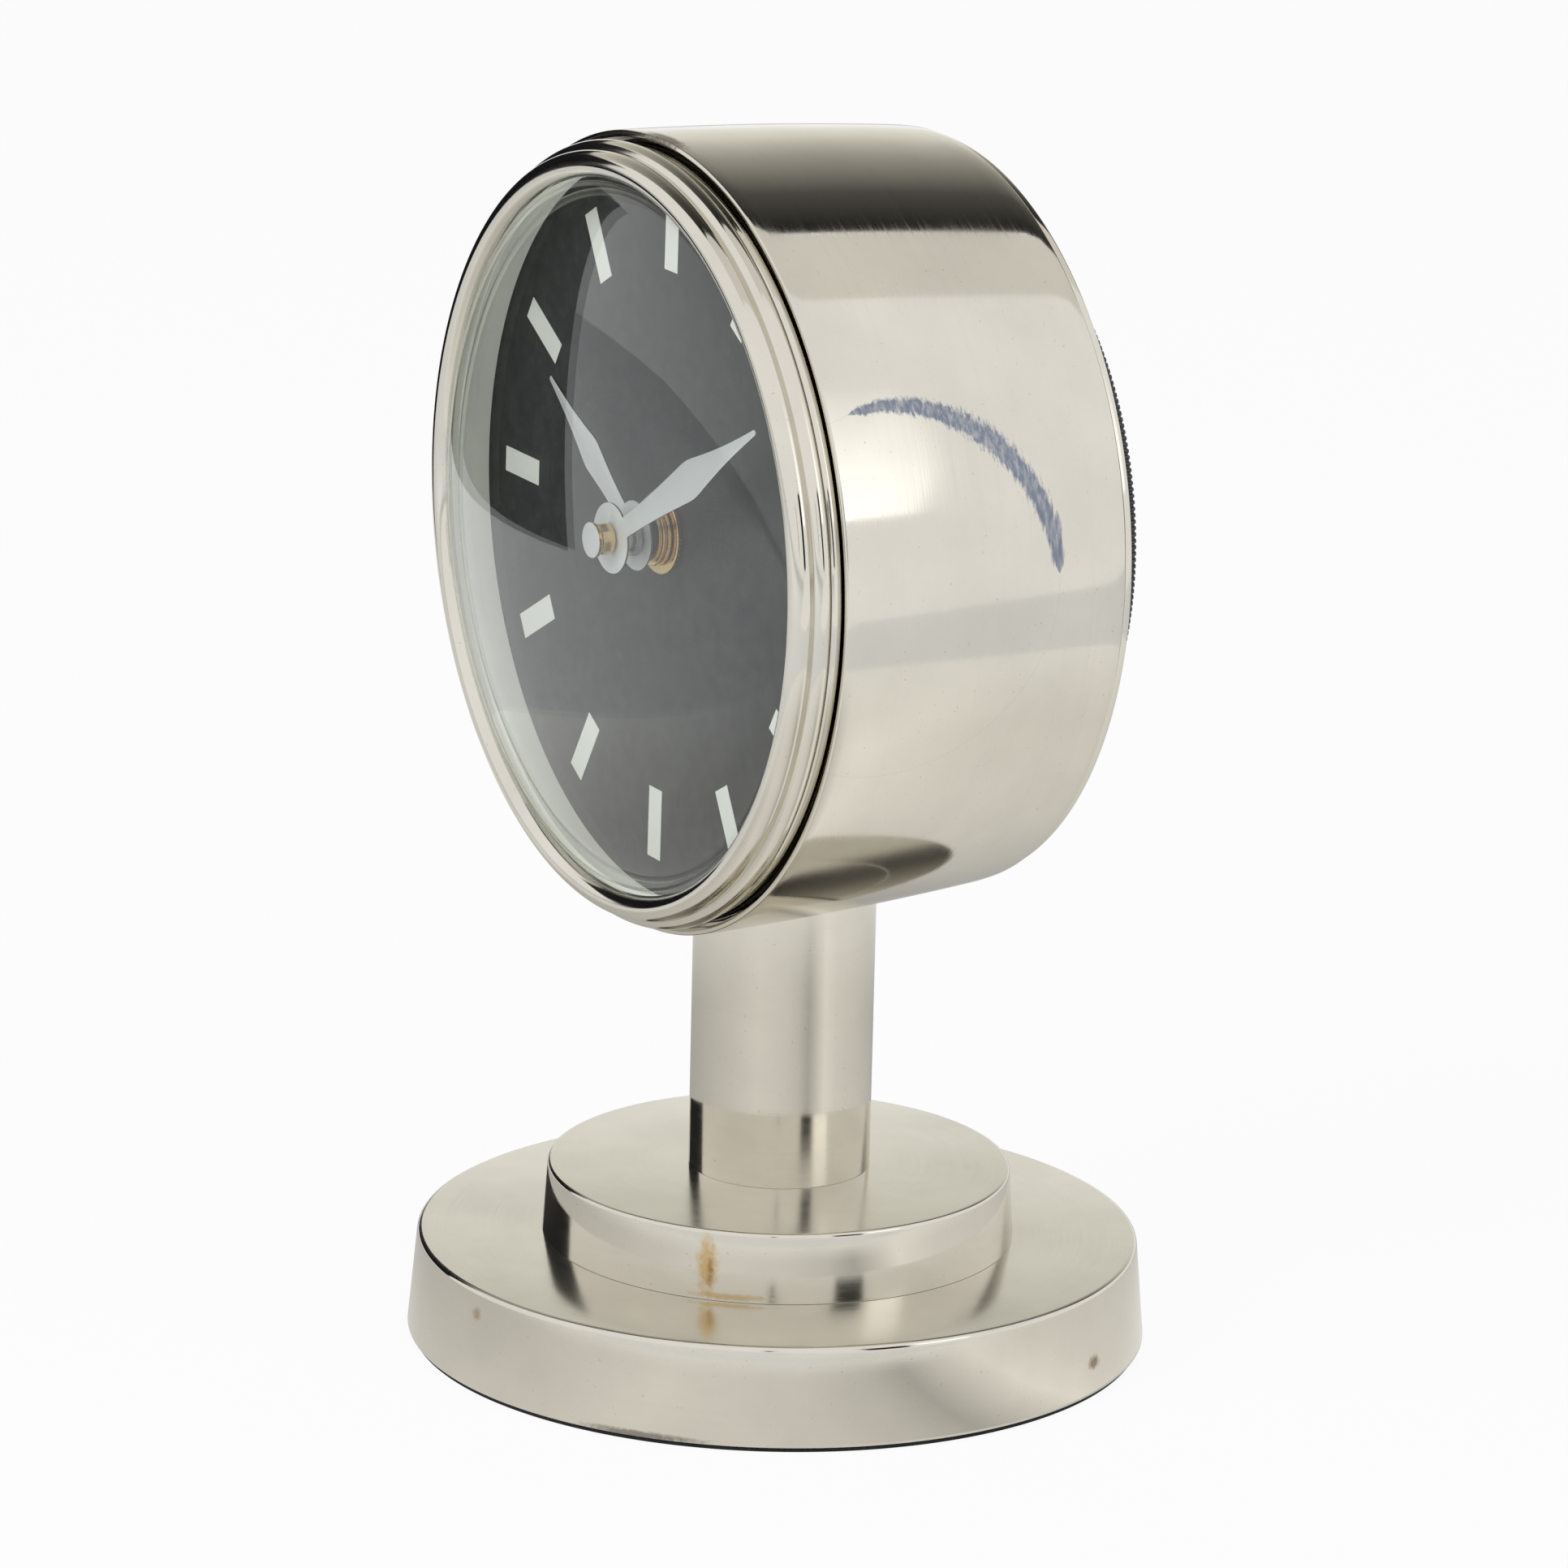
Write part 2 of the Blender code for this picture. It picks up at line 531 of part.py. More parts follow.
def pivot(name, clock, place):
    """Empty on a wheel's axis, which carries the pieces that turn there."""
    made = bpy.data.objects.new(name, None)
    bpy.context.scene.collection.objects.link(made)
    made.parent = clock
    made.location = (*place, 0.0)
    return made


def wheel_mesh(name, low, wheel, pinion, driven_low, front=INSIDE_FRONT):
    """Wheel with its pinion in front, which reaches the level of the wheel it meshes with."""
    high = low + WHEEL_THICK
    top = driven_low + WHEEL_THICK
    return stack_mesh(name, [
        (INSIDE_REAR, low, [circle(PIVOT_RADIUS, 12)]), (low, high, [wheel]), (high, top, [pinion]),
        (top, front, [circle(PIVOT_RADIUS, 12)])])


def make_train(looks, clock):
    hour_low = INSIDE_FRONT - WHEEL_THICK
    minute_low = hour_low - FIT_GAP - WHEEL_THICK
    centre_low = minute_low - 2 * FIT_GAP - WHEEL_THICK
    third_low = centre_low - 2 * FIT_GAP - WHEEL_THICK
    second_low = third_low - 2 * FIT_GAP - WHEEL_THICK
    inter_low = second_low - 2 * FIT_GAP - WHEEL_THICK
    overlap = 0.1 * MM

    centre = pivot("centre_axis", clock, (0.0, 0.0))
    minute = pivot("setting_axis", clock, (0.0, MINUTE_DISTANCE))
    third = pivot("third_axis", clock, THIRD_PLACE)
    second = pivot("second_axis", clock, SECOND_PLACE)
    inter = pivot("intermediate_axis", clock, INTER_PLACE)
    rotor = pivot("rotor_axis", clock, ROTOR_PLACE)

    # Motion work: cannon pinion on the minute arbor, minute wheel and pinion, hour wheel
    up = math.pi / 2
    cannon = gear(CANNON_TEETH, CANNON_MODULE)
    minute_phase = mesh_phase(CANNON_TEETH, 0.0, MINUTE_TEETH, up)
    minute_wheel = gear(MINUTE_TEETH, CANNON_MODULE, minute_phase)
    minute_pinion = gear(MINUTE_PINION, HOUR_MODULE)
    hour_wheel = gear(HOUR_TEETH, HOUR_MODULE, mesh_phase(MINUTE_PINION, 0.0, HOUR_TEETH, -up))
    tube_end = MINUTE_PLANE - HAND_THICK / 2 - 3 * FIT_GAP
    tube_bore = circle(ARBOR_RADIUS + FIT_GAP, 16)
    finish("hour_wheel", stack_mesh("hour_wheel", [
        (hour_low, hour_low + WHEEL_THICK, [hour_wheel, tube_bore]),
        (hour_low + WHEEL_THICK, tube_end, [circle(TUBE_RADIUS), tube_bore])]), looks["white"], centre)
    stem = circle(KNOB_STEM, 16)
    knob_top = CASE_REAR - FIT_GAP
    finish("minute_wheel", stack_mesh("minute_wheel", [
        (knob_top + FIT_GAP, minute_low, [stem]), (minute_low, minute_low + WHEEL_THICK, [minute_wheel]),
        (minute_low + WHEEL_THICK, INSIDE_FRONT, [minute_pinion])]), looks["white"], minute)
    knob = circle(KNOB_RADIUS)
    finish("set_knob", stack_mesh("set_knob", [(knob_top - KNOB_HEIGHT, knob_top, [knob])]),
           looks["black"], minute)

    # Going train
    arbor_end = MINUTE_PLANE + HAND_THICK / 2 + FIT_GAP + MINUTE_BUSH_HEIGHT
    thin = circle(PIVOT_RADIUS + 0.2 * MM, 12)
    finish("minute_arbor", stack_mesh("minute_arbor", [
        (INSIDE_REAR, minute_low - overlap, [thin]),
        (minute_low - overlap, minute_low + WHEEL_THICK, [cannon]),
        (minute_low + WHEEL_THICK, arbor_end, [circle(ARBOR_RADIUS, 16)])]), looks["steel"], centre)
    centre_loops = [gear(CENTRE_TEETH, TRAIN_MODULE), circle(PIVOT_RADIUS + 0.2 * MM + FIT_GAP, 12)]
    finish("centre_wheel", stack_mesh("centre_wheel", [
        (centre_low, centre_low + WHEEL_THICK, centre_loops)]), looks["brass"], centre)
    third_pinion = gear(PINION_TEETH, TRAIN_MODULE, mesh_phase(CENTRE_TEETH, 0.0, PINION_TEETH, 0.0))
    third_gear = gear(THIRD_TEETH, TRAIN_MODULE)
    finish("third_wheel", wheel_mesh("third_wheel", third_low, third_gear, third_pinion, centre_low,
                                      hour_low - FIT_GAP), looks["brass"], third)
    second_pinion = gear(PINION_TEETH, TRAIN_MODULE, mesh_phase(THIRD_TEETH, 0.0, PINION_TEETH, SECOND_ANGLE))
    second_gear = gear(SECOND_TEETH, TRAIN_MODULE)
    finish("second_wheel", wheel_mesh("second_wheel", second_low, second_gear, second_pinion, third_low),
           looks["brass"], second)
    inter_pinion = gear(INTER_PINION, TRAIN_MODULE, mesh_phase(SECOND_TEETH, 0.0, INTER_PINION, INTER_ANGLE))
    inter_gear = gear(INTER_TEETH, TRAIN_MODULE)
    finish("intermediate_wheel", wheel_mesh("intermediate_wheel", inter_low, inter_gear, inter_pinion,
                                            second_low), looks["white"], inter)

    # The stepping rotor: its pinion drives the intermediate wheel, its magnet sits in the stator's bore
    rotor_pinion = gear(ROTOR_PINION, TRAIN_MODULE, mesh_phase(INTER_TEETH, 0.0, ROTOR_PINION, ROTOR_ANGLE))
    magnet_low, magnet_high = STATOR_LOW - 0.6 * MM, STATOR_LOW + STATOR_THICK + 0.6 * MM
    finish("step_rotor", stack_mesh("step_rotor", [
        (INSIDE_REAR, inter_low, [circle(PIVOT_RADIUS, 12)]), (inter_low, magnet_low, [rotor_pinion]),
        (magnet_low, magnet_high, [circle(ROTOR_RADIUS)]),
        (magnet_high, INSIDE_FRONT, [circle(PIVOT_RADIUS, 12)])]), looks["rubber"], rotor)
    return centre


def make_motor(looks, clock):
    inner = CASE_SIZE / 2 - CASE_WALL - FIT_GAP
    bar = 2.2 * MM
    frame = rectangle(inner - 20.5 * MM, ROTOR_PLACE.y - 4.0 * MM, inner, inner - 1.6 * MM)
    window = rectangle(frame[0][0] + 3.0 * MM, ROTOR_PLACE.y + 3.6 * MM, inner - 3.0 * MM, frame[2][1] - bar)
    holes = [window, circle(ROTOR_RADIUS + 0.4 * MM, SMALL, ROTOR_PLACE), circle(1.4 * MM, 16, INTER_PLACE)]
    finish("stator_plate", stack_mesh("stator_plate", [
        (STATOR_LOW, STATOR_LOW + STATOR_THICK, [frame, *holes])]), looks["steel"], clock)

    coil = stack_mesh("drive_coil", [(-6.0 * MM, 6.0 * MM, [circle(2.6 * MM), circle(1.6 * MM, 16)])])
    coil.transform(Matrix.Rotation(math.radians(90), 4, "Y"))
    middle_x = (window[0][0] + window[1][0]) / 2
    moved(coil, (middle_x, frame[2][1] - bar / 2, STATOR_LOW + STATOR_THICK / 2))
    finish("drive_coil", coil, looks["copper"], clock)

    board_low = INSIDE_REAR + 3.5 * MM
    board_high = board_low + 1.0 * MM
    board = rectangle(-inner, 14.5 * MM, -3.0 * MM, inner)
    finish("circuit_board", stack_mesh("circuit_board", [(board_low, board_high, [board])]),
           looks["board"], clock)
    can_radius = 1.5 * MM
    can = stack_mesh("quartz_crystal", [(-3.0 * MM, 3.0 * MM, [circle(can_radius, 16)])])
    can.transform(Matrix.Rotation(math.radians(90), 4, "Y"))
    moved(can, (-16.0 * MM, 20.0 * MM, board_high + FIT_GAP + can_radius))
    finish("quartz_crystal", can, looks["steel"], clock)


def make_cell(looks, clock):
    middle = CASE_REAR + CELL_RADIUS - CELL_PROUD
    half = (CELL_LENGTH + CELL_NIPPLE) / 2
    cell = stack_mesh("battery", [
        (-half, half - CELL_NIPPLE, [circle(CELL_RADIUS)]),
        (half - CELL_NIPPLE, half, [circle(2.7 * MM, 16)])])
    cell.transform(Matrix.Rotation(math.radians(90), 4, "Y"))
    moved(cell, (0.0, -CELL_DROP, middle))
    finish("battery", cell, looks["cell"], clock)
    for name, side in (("battery_contact_plus", 1), ("battery_contact_minus", -1)):
        near = side * (half + FIT_GAP)
        far = near + side * CONTACT_THICK
        low, high = sorted((near, far))
        leaf = rectangle(low, -CELL_DROP - 4.0 * MM, high, -CELL_DROP + 4.0 * MM)
        finish(name, stack_mesh(name, [(middle - 3.5 * MM, middle + 4.5 * MM, [leaf])]),
               looks["steel"], clock)


def hand_outline(length, widest, width, angle):
    """Outline of a lance-shaped hand with a round hub, turned clockwise from twelve."""
    root = math.asin(HAND_ROOT / 2 / HUB_RADIUS)
    turns = [root + (2 * math.pi - 2 * root) * step / 28 for step in range(29)]
    hub = [(HUB_RADIUS * math.sin(turn), HUB_RADIUS * math.cos(turn)) for turn in turns]
    blade = [(-width / 2, widest), (-HAND_TIP / 2, length - HAND_TIP / 2), (0.0, length),
             (HAND_TIP / 2, length - HAND_TIP / 2), (width / 2, widest)]
    sine, cosine = math.sin(angle), math.cos(angle)
    return [(x * cosine + y * sine, y * cosine - x * sine) for x, y in hub + blade]


def make_hands(looks, centre):
    hour = hand_outline(HOUR_LENGTH, HOUR_WIDEST, HOUR_WIDTH, HOUR_ANGLE)
    hour_low = HOUR_PLANE - HAND_THICK / 2
    finish("hour_hand", stack_mesh("hour_hand", [
        (hour_low, hour_low + HAND_THICK, [hour, circle(TUBE_RADIUS + FIT_GAP)])]), looks["silver"], centre)
    bush_low = hour_low + HAND_THICK + FIT_GAP
    bush = [circle(HOUR_BUSH_RADIUS, 12), circle(TUBE_RADIUS + FIT_GAP)]
    finish("hour_hand_bush", stack_mesh("hour_hand_bush", [
        (bush_low, bush_low + HOUR_BUSH_HEIGHT, bush)]), looks["brass"], centre, math.radians(20))

    minute = hand_outline(MINUTE_LENGTH, MINUTE_WIDEST, MINUTE_WIDTH, MINUTE_ANGLE)
    minute_low = MINUTE_PLANE - HAND_THICK / 2
    finish("minute_hand", stack_mesh("minute_hand", [
        (minute_low, minute_low + HAND_THICK, [minute, circle(ARBOR_RADIUS + FIT_GAP, 16)])]),
        looks["silver"], centre)
    bush_low = minute_low + HAND_THICK + FIT_GAP
    bush_high = bush_low + MINUTE_BUSH_HEIGHT
    finish("minute_hand_bush", stack_mesh("minute_hand_bush", [
        (bush_low, bush_high, [circle(MINUTE_BUSH_RADIUS, 8), circle(ARBOR_RADIUS + FIT_GAP, 16)])]),
        looks["brass"], centre, math.radians(20))
    cap_low = bush_high + FIT_GAP
    finish("hand_cap", stack_mesh("hand_cap", [(cap_low, cap_low + CAP_HEIGHT, [circle(CAP_RADIUS)])]),
           looks["silver"], centre)


def main():
    clear_scene()
    looks = {
        "nickel": material("polished_nickel", (0.72, 0.70, 0.66), 0.12, 1.0),
        "felt": material("black_felt", (0.02, 0.02, 0.02), 0.95),
        "steel": material("zinced_steel", (0.55, 0.55, 0.56), 0.35, 1.0),
        "dial": material("charcoal_dial", (0.05, 0.05, 0.052), 0.35),
        "cream": material("grey_cream_plastic", (0.60, 0.60, 0.54), 0.5),
        "glass": material("clear_glass", (0.95, 0.97, 0.96), 0.02, 0.0, 0.2),
        "black": material("black_plastic", (0.025, 0.025, 0.028), 0.45),
        "rubber": material("black_rubber", (0.02, 0.02, 0.02), 0.8),
        "brass": material("brass", (0.78, 0.60, 0.30), 0.3, 1.0),
        "white": material("white_nylon", (0.85, 0.85, 0.82), 0.45),
        "copper": material("enamelled_copper", (0.60, 0.22, 0.10), 0.35, 0.8),
        "board": material("circuit_green", (0.03, 0.16, 0.07), 0.5),
        "cell": material("cell_jacket", (0.12, 0.12, 0.13), 0.4),
        "silver": material("silver_paint", (0.55, 0.56, 0.57), 0.45, 0.6),
    }
    clock = bpy.data.objects.new("clock_axis", None)
    bpy.context.scene.collection.objects.link(clock)
    clock.location = (0.0, 0.0, AXIS_HEIGHT)
    clock.rotation_euler = (math.radians(90), 0.0, 0.0)

    make_pedestal(looks, clock)
    make_case(looks, clock)
    make_movement_case(looks, clock)
    centre = make_train(looks, clock)
    make_motor(looks, clock)
    make_cell(looks, clock)
    make_hands(looks, centre)


main()
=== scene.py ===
"""Looks of the deck clock: turned and polished nickel, dial, domed glass, hands, ribbed cover and studio."""

import json
import math

import bmesh
import bpy
from mathutils import Matrix, Vector


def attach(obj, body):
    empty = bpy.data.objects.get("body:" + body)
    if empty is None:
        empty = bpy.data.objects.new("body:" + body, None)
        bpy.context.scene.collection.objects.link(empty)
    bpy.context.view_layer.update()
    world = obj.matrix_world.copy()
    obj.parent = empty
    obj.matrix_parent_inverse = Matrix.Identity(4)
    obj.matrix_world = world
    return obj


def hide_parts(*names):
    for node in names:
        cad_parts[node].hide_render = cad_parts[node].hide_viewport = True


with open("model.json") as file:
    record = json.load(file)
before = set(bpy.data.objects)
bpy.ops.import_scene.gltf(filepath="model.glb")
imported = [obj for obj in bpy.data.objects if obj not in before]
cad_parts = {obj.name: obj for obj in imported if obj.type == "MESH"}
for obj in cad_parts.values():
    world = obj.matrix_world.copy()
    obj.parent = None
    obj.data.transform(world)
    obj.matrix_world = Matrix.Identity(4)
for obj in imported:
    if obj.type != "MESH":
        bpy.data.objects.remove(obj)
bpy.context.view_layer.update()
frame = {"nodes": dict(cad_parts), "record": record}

MM = 0.001
PI = math.pi
CASE = "clock_case"
ROUND = 192                     # sides of a turned piece
CORNER_STEPS = 4                # chords of a rounded corner
SHARP_ANGLE = 35.0              # degrees between faces that still shade as one surface

# Sizes of the clock, in millimetres
AXIS_HEIGHT = 160.0
DRUM_FRONT = 32.1
DRUM_DEPTH = 60.7
DRUM_RADIUS = 75.0
DRUM_TAPER = 3.1
DRUM_CROWN = 0.6
DRUM_SEAT_GAP = 0.3
STEM_RADIUS = 17.4
STEM_BORE = 15.4
STEM_FOOT = 33.52
STEM_SIDES = 96
HAND_HALF_THICK = 0.2
RIBS = 300
RIB_SHAPE = ((0.0, 57.1), (0.22, 57.6), (0.56, 57.6), (0.78, 57.1))     # share of a rib, radius


# ---------------------------------------------------------------- geometry helpers (millimetres)

def fillet(profile):
    """Rounds the corners of a (radius, height, corner radius) profile that is closed on itself."""
    out = []
    count = len(profile)
    for index, (r, z, round_by) in enumerate(profile):
        here = Vector((r, z))
        if round_by <= 0.0:
            out.append(here)
            continue
        before = Vector(profile[index - 1][:2]) - here
        after = Vector(profile[(index + 1) % count][:2]) - here
        angle = before.angle(after)
        if angle > PI - 0.05:
            out.append(here)
            continue
        reach = min(round_by / math.tan(angle / 2), before.length * 0.45, after.length * 0.45)
        start, end = here + before.normalized() * reach, here + after.normalized() * reach
        for step in range(CORNER_STEPS + 1):
            share = step / CORNER_STEPS
            out.append(start * (1 - share) ** 2 + here * (2 * share * (1 - share)) + end * share ** 2)
    return [(point.x, point.y) for point in out]


def arc(centre, radius, start, end, steps):
    """Profile points on an arc between two angles in degrees."""
    turns = [math.radians(start + (end - start) * step / steps) for step in range(steps + 1)]
    return [(centre[0] + radius * math.cos(turn), centre[1] + radius * math.sin(turn), 0.0)
            for turn in turns]


def new_object(name, points, faces, look, body, smooth=SHARP_ANGLE, hides=()):
    """Piece of the visual model, from points in millimetres, that rides on a body."""
    mesh = bpy.data.meshes.new(name)
    mesh.from_pydata([Vector(point) * MM for point in points], [], faces)
    shape = bmesh.new()
    shape.from_mesh(mesh)
    bmesh.ops.remove_doubles(shape, verts=shape.verts, dist=1e-7)
    bmesh.ops.recalc_face_normals(shape, faces=shape.faces)
    shape.to_mesh(mesh)
    shape.free()
    mesh.materials.append(look)
    mesh.shade_smooth()
    mesh.set_sharp_from_angle(angle=math.radians(smooth))
    made = bpy.data.objects.new(name, mesh)
    bpy.context.scene.collection.objects.link(made)
    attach(made, body)
    if hides:
        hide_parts(*hides)
    return made


def upright(point):
    """Clock frame (x right, y up, z forward out of the dial) to the world, in millimetres."""
    return (point[0], -point[2], AXIS_HEIGHT + point[1])


def as_is(point):
    return point


def lathe(name, profile, look, body, place=upright, sides=ROUND, hides=(), smooth=SHARP_ANGLE):
    """Turned piece from a closed (radius, height, corner radius) profile."""
    profile = [point[:2] for point in fillet([(*p, 0.0)[:3] for p in profile])]
    points, rings, faces = [], [], []
    for r, z in profile:
        count = 1 if r < 1e-6 else sides
        rings.append(range(len(points), len(points) + count))
        for step in range(count):
            turn = 2 * PI * step / sides
            points.append(place((r * math.cos(turn), r * math.sin(turn), z)))
    for index, ring in enumerate(rings):
        below = rings[index - 1]
        if len(ring) == 1 and len(below) == 1:
            continue
        for step in range(sides):
            after = (step + 1) % sides
            face = [below[step % len(below)], below[after % len(below)],
                    ring[after % len(ring)], ring[step % len(ring)]]
            faces.append(list(dict.fromkeys(face)))
    return new_object(name, points, faces, look, body, smooth, hides)


def slab(name, outline, low, high, look, body, hides=(), bevel=0.0, hole=None,
         smooth=SHARP_ANGLE):
    """Flat piece between two forward distances, with its outline in the dial's plane."""
    loops = [outline] + ([hole] if hole else [])
    shape = bmesh.new()
    for loop in loops:
        low_ring = [shape.verts.new((x, y, low)) for x, y in loop]
        for step in range(len(loop)):
            shape.edges.new((low_ring[step - 1], low_ring[step]))
    bmesh.ops.triangle_fill(shape, use_beauty=True, use_dissolve=True, edges=shape.edges[:])
    grown = bmesh.ops.extrude_face_region(shape, geom=shape.faces[:])
    moved = [item for item in grown["geom"] if isinstance(item, bmesh.types.BMVert)]
    bmesh.ops.translate(shape, vec=(0, 0, high - low), verts=moved)
    bmesh.ops.recalc_face_normals(shape, faces=shape.faces)
    if bevel > 0:
        sharp = [edge for edge in shape.edges if edge.is_manifold and edge.calc_face_angle(0) > 1.2]
        bmesh.ops.bevel(shape, geom=sharp, offset=bevel, segments=2, affect="EDGES", profile=0.5)
    shape.verts.index_update()
    points = [upright(vert.co) for vert in shape.verts]
    faces = [[vert.index for vert in face.verts] for face in shape.faces]
    shape.free()
    return new_object(name, points, faces, look, body, smooth, hides)


def circle(radius, sides):
    turns = [2 * PI * step / sides for step in range(sides)]
    return [(radius * math.cos(turn), radius * math.sin(turn)) for turn in turns]


def turned(outline, clockwise):
    """Outline turned clockwise as the dial's front shows it, by an angle in radians."""
    sine, cosine = math.sin(clockwise), math.cos(clockwise)
    return [(x * cosine + y * sine, y * cosine - x * sine) for x, y in outline]


# ---------------------------------------------------------------- materials

RING_STRETCH = 0.0006           # metres of texture for a radian round the axis: turning marks run round
BROWN = (0.33, 0.20, 0.08)
GOLD = (0.60, 0.42, 0.18)
# Dark blue-grey of a painted reflection on the drum's side.
PAINTED_REFLECTION_BLUE = (0.17, 0.20, 0.27)
SOOT = (0.16, 0.13, 0.10)
CHIP = (0.20, 0.13, 0.07)
SCUFF = (0.12, 0.10, 0.08)


class Nodes:
    """Small helper round a material's node tree."""

    def __init__(self, name):
        self.material = bpy.data.materials.new(name)
        self.material.use_nodes = True
        self.tree = self.material.node_tree
        self.shader = self.tree.nodes["Principled BSDF"]
        self.coords = self.tree.nodes.new("ShaderNodeTexCoord")

    def add(self, kind, **values):
        node = self.tree.nodes.new(kind)
        for key, value in values.items():
            setattr(node, key, value)
        return node

    def link(self, source, target):
        self.tree.links.new(source, target)

    def math(self, operation, first, second=0.0):
        node = self.add("ShaderNodeMath", operation=operation)
        for index, value in enumerate((first, second)):
            if isinstance(value, (int, float)):
                node.inputs[index].default_value = value
            else:
                self.link(value, node.inputs[index])
        return node.outputs[0]

    def noise(self, vector, scale, detail, roughness):
        node = self.add("ShaderNodeTexNoise")
        self.link(vector, node.inputs["Vector"])
        node.inputs["Scale"].default_value = scale
        node.inputs["Detail"].default_value = detail
        node.inputs["Roughness"].default_value = roughness
        return node.outputs["Fac"]

    def ramp(self, value, stops):
        node = self.add("ShaderNodeValToRGB")
        self.link(value, node.inputs[0])
        elements = node.color_ramp.elements
        while len(elements) < len(stops):
            elements.new(0.5)
        for element, (place, colour) in zip(elements, stops):
            element.position = place
            element.color = (*colour, 1.0) if len(colour) == 3 else colour
        return node.outputs["Color"]

    def mix(self, share, first, second):
        node = self.add("ShaderNodeMix", data_type="RGBA")
        if isinstance(share, (int, float)):
            node.inputs[0].default_value = share
        else:
            self.link(share, node.inputs[0])
        for socket, value in ((node.inputs[6], first), (node.inputs[7], second)):
            if isinstance(value, tuple):
                socket.default_value = (*value, 1.0)
            else:
                self.link(value, socket)
        return node.outputs[2]

    def remap(self, value, low, high, out_low, out_high):
        node = self.add("ShaderNodeMapRange")
        self.link(value, node.inputs[0])
        for index, number in enumerate((low, high, out_low, out_high)):
            node.inputs[index + 1].default_value = number
        return node.outputs[0]

    def polar(self, vertical):
        """Vector of (radius, height, small share of the angle) about a vertical or dial axis."""
        split = self.add("ShaderNodeSeparateXYZ")
        self.link(self.coords.outputs["Object"], split.inputs[0])
        x = split.outputs[0]
        above_axis = self.math("SUBTRACT", split.outputs[2], AXIS_HEIGHT * MM)
        across = split.outputs[1] if vertical else above_axis
        along = split.outputs[2] if vertical else split.outputs[1]
        radius = self.math("SQRT", self.math("ADD", self.math("MULTIPLY", x, x),
                                             self.math("MULTIPLY", across, across)))
        join = self.add("ShaderNodeCombineXYZ")
        self.link(radius, join.inputs[0])
        self.link(along, join.inputs[1])
        self.link(self.math("MULTIPLY", self.math("ARCTAN2", across, x), RING_STRETCH), join.inputs[2])
        return join.outputs[0]

    def painted_reflection_arc(self, centre, radius, first, last, width):
        """Mask of a painted reflection: 1 inside a hatched, tapering arc round a (y, z) place (mm) on the +X
        side, between two angles.
        """
        split = self.add("ShaderNodeSeparateXYZ")
        self.link(self.coords.outputs["Object"], split.inputs[0])
        along_y = self.math("SUBTRACT", split.outputs[1], centre[0] * MM)
        along_z = self.math("SUBTRACT", split.outputs[2], centre[1] * MM)
        squares = self.math("ADD", self.math("MULTIPLY", along_y, along_y),
                            self.math("MULTIPLY", along_z, along_z))
        off = self.math("SUBTRACT", self.math("SQRT", squares), radius * MM)
        turn = self.math("ARCTAN2", along_z, along_y)
        share = self.remap(turn, first, last, 0.0, 1.0)
        shape = self.ramp(share, [(place, (breadth,) * 3) for place, breadth in (
            (0.0, 0.0), (0.04, 0.35), (0.5, 1.0), (0.85, 0.8), (0.97, 0.5), (1.0, 0.0))])
        stretch = self.add("ShaderNodeMapping", vector_type="POINT")
        stretch.inputs["Scale"].default_value = (1.0, 1.0, 0.12)
        stretch.inputs["Rotation"].default_value = (0.35, 0.0, 0.0)
        self.link(self.coords.outputs["Object"], stretch.inputs[0])
        hatch = self.noise(stretch.outputs[0], 1500.0, 3.0, 0.6)
        half = self.math("MULTIPLY", self.math("MULTIPLY", shape, width * MM),
                         self.remap(hatch, 0.3, 0.7, 0.6, 1.4))
        edge = self.math("DIVIDE", self.math("ABSOLUTE", off), self.math("ADD", half, 0.00001))
        inside = self.remap(edge, 0.7, 1.2, 1.0, 0.0)
        here = self.math("MULTIPLY", inside, self.remap(hatch, 0.35, 0.6, 0.6, 0.95))
        return self.math("MULTIPLY", here, self.math("GREATER_THAN", split.outputs[0], 0.03))

    def spot(self, place, size):
        """1 inside an uneven blob about a world place (mm), 0 outside."""
        offset = self.add("ShaderNodeVectorMath", operation="SUBTRACT")
        self.link(self.coords.outputs["Object"], offset.inputs[0])
        offset.inputs[1].default_value = Vector(place) * MM
        scaled = self.add("ShaderNodeVectorMath", operation="DIVIDE")
        self.link(offset.outputs[0], scaled.inputs[0])
        scaled.inputs[1].default_value = Vector(size) * MM
        length = self.add("ShaderNodeVectorMath", operation="LENGTH")
        self.link(scaled.outputs[0], length.inputs[0])
        ragged = self.noise(self.coords.outputs["Object"], 900.0, 3.0, 0.6)
        edge = self.math("ADD", length.outputs["Value"], self.math("SUBTRACT", ragged, 0.5))
        return self.remap(edge, 1.0, 0.4, 0.0, 1.0)

    def bump(self, height, strength, distance):
        node = self.add("ShaderNodeBump")
        node.inputs["Strength"].default_value = strength
        node.inputs["Distance"].default_value = distance
        self.link(height, node.inputs["Height"])
        self.link(node.outputs[0], self.shader.inputs["Normal"])


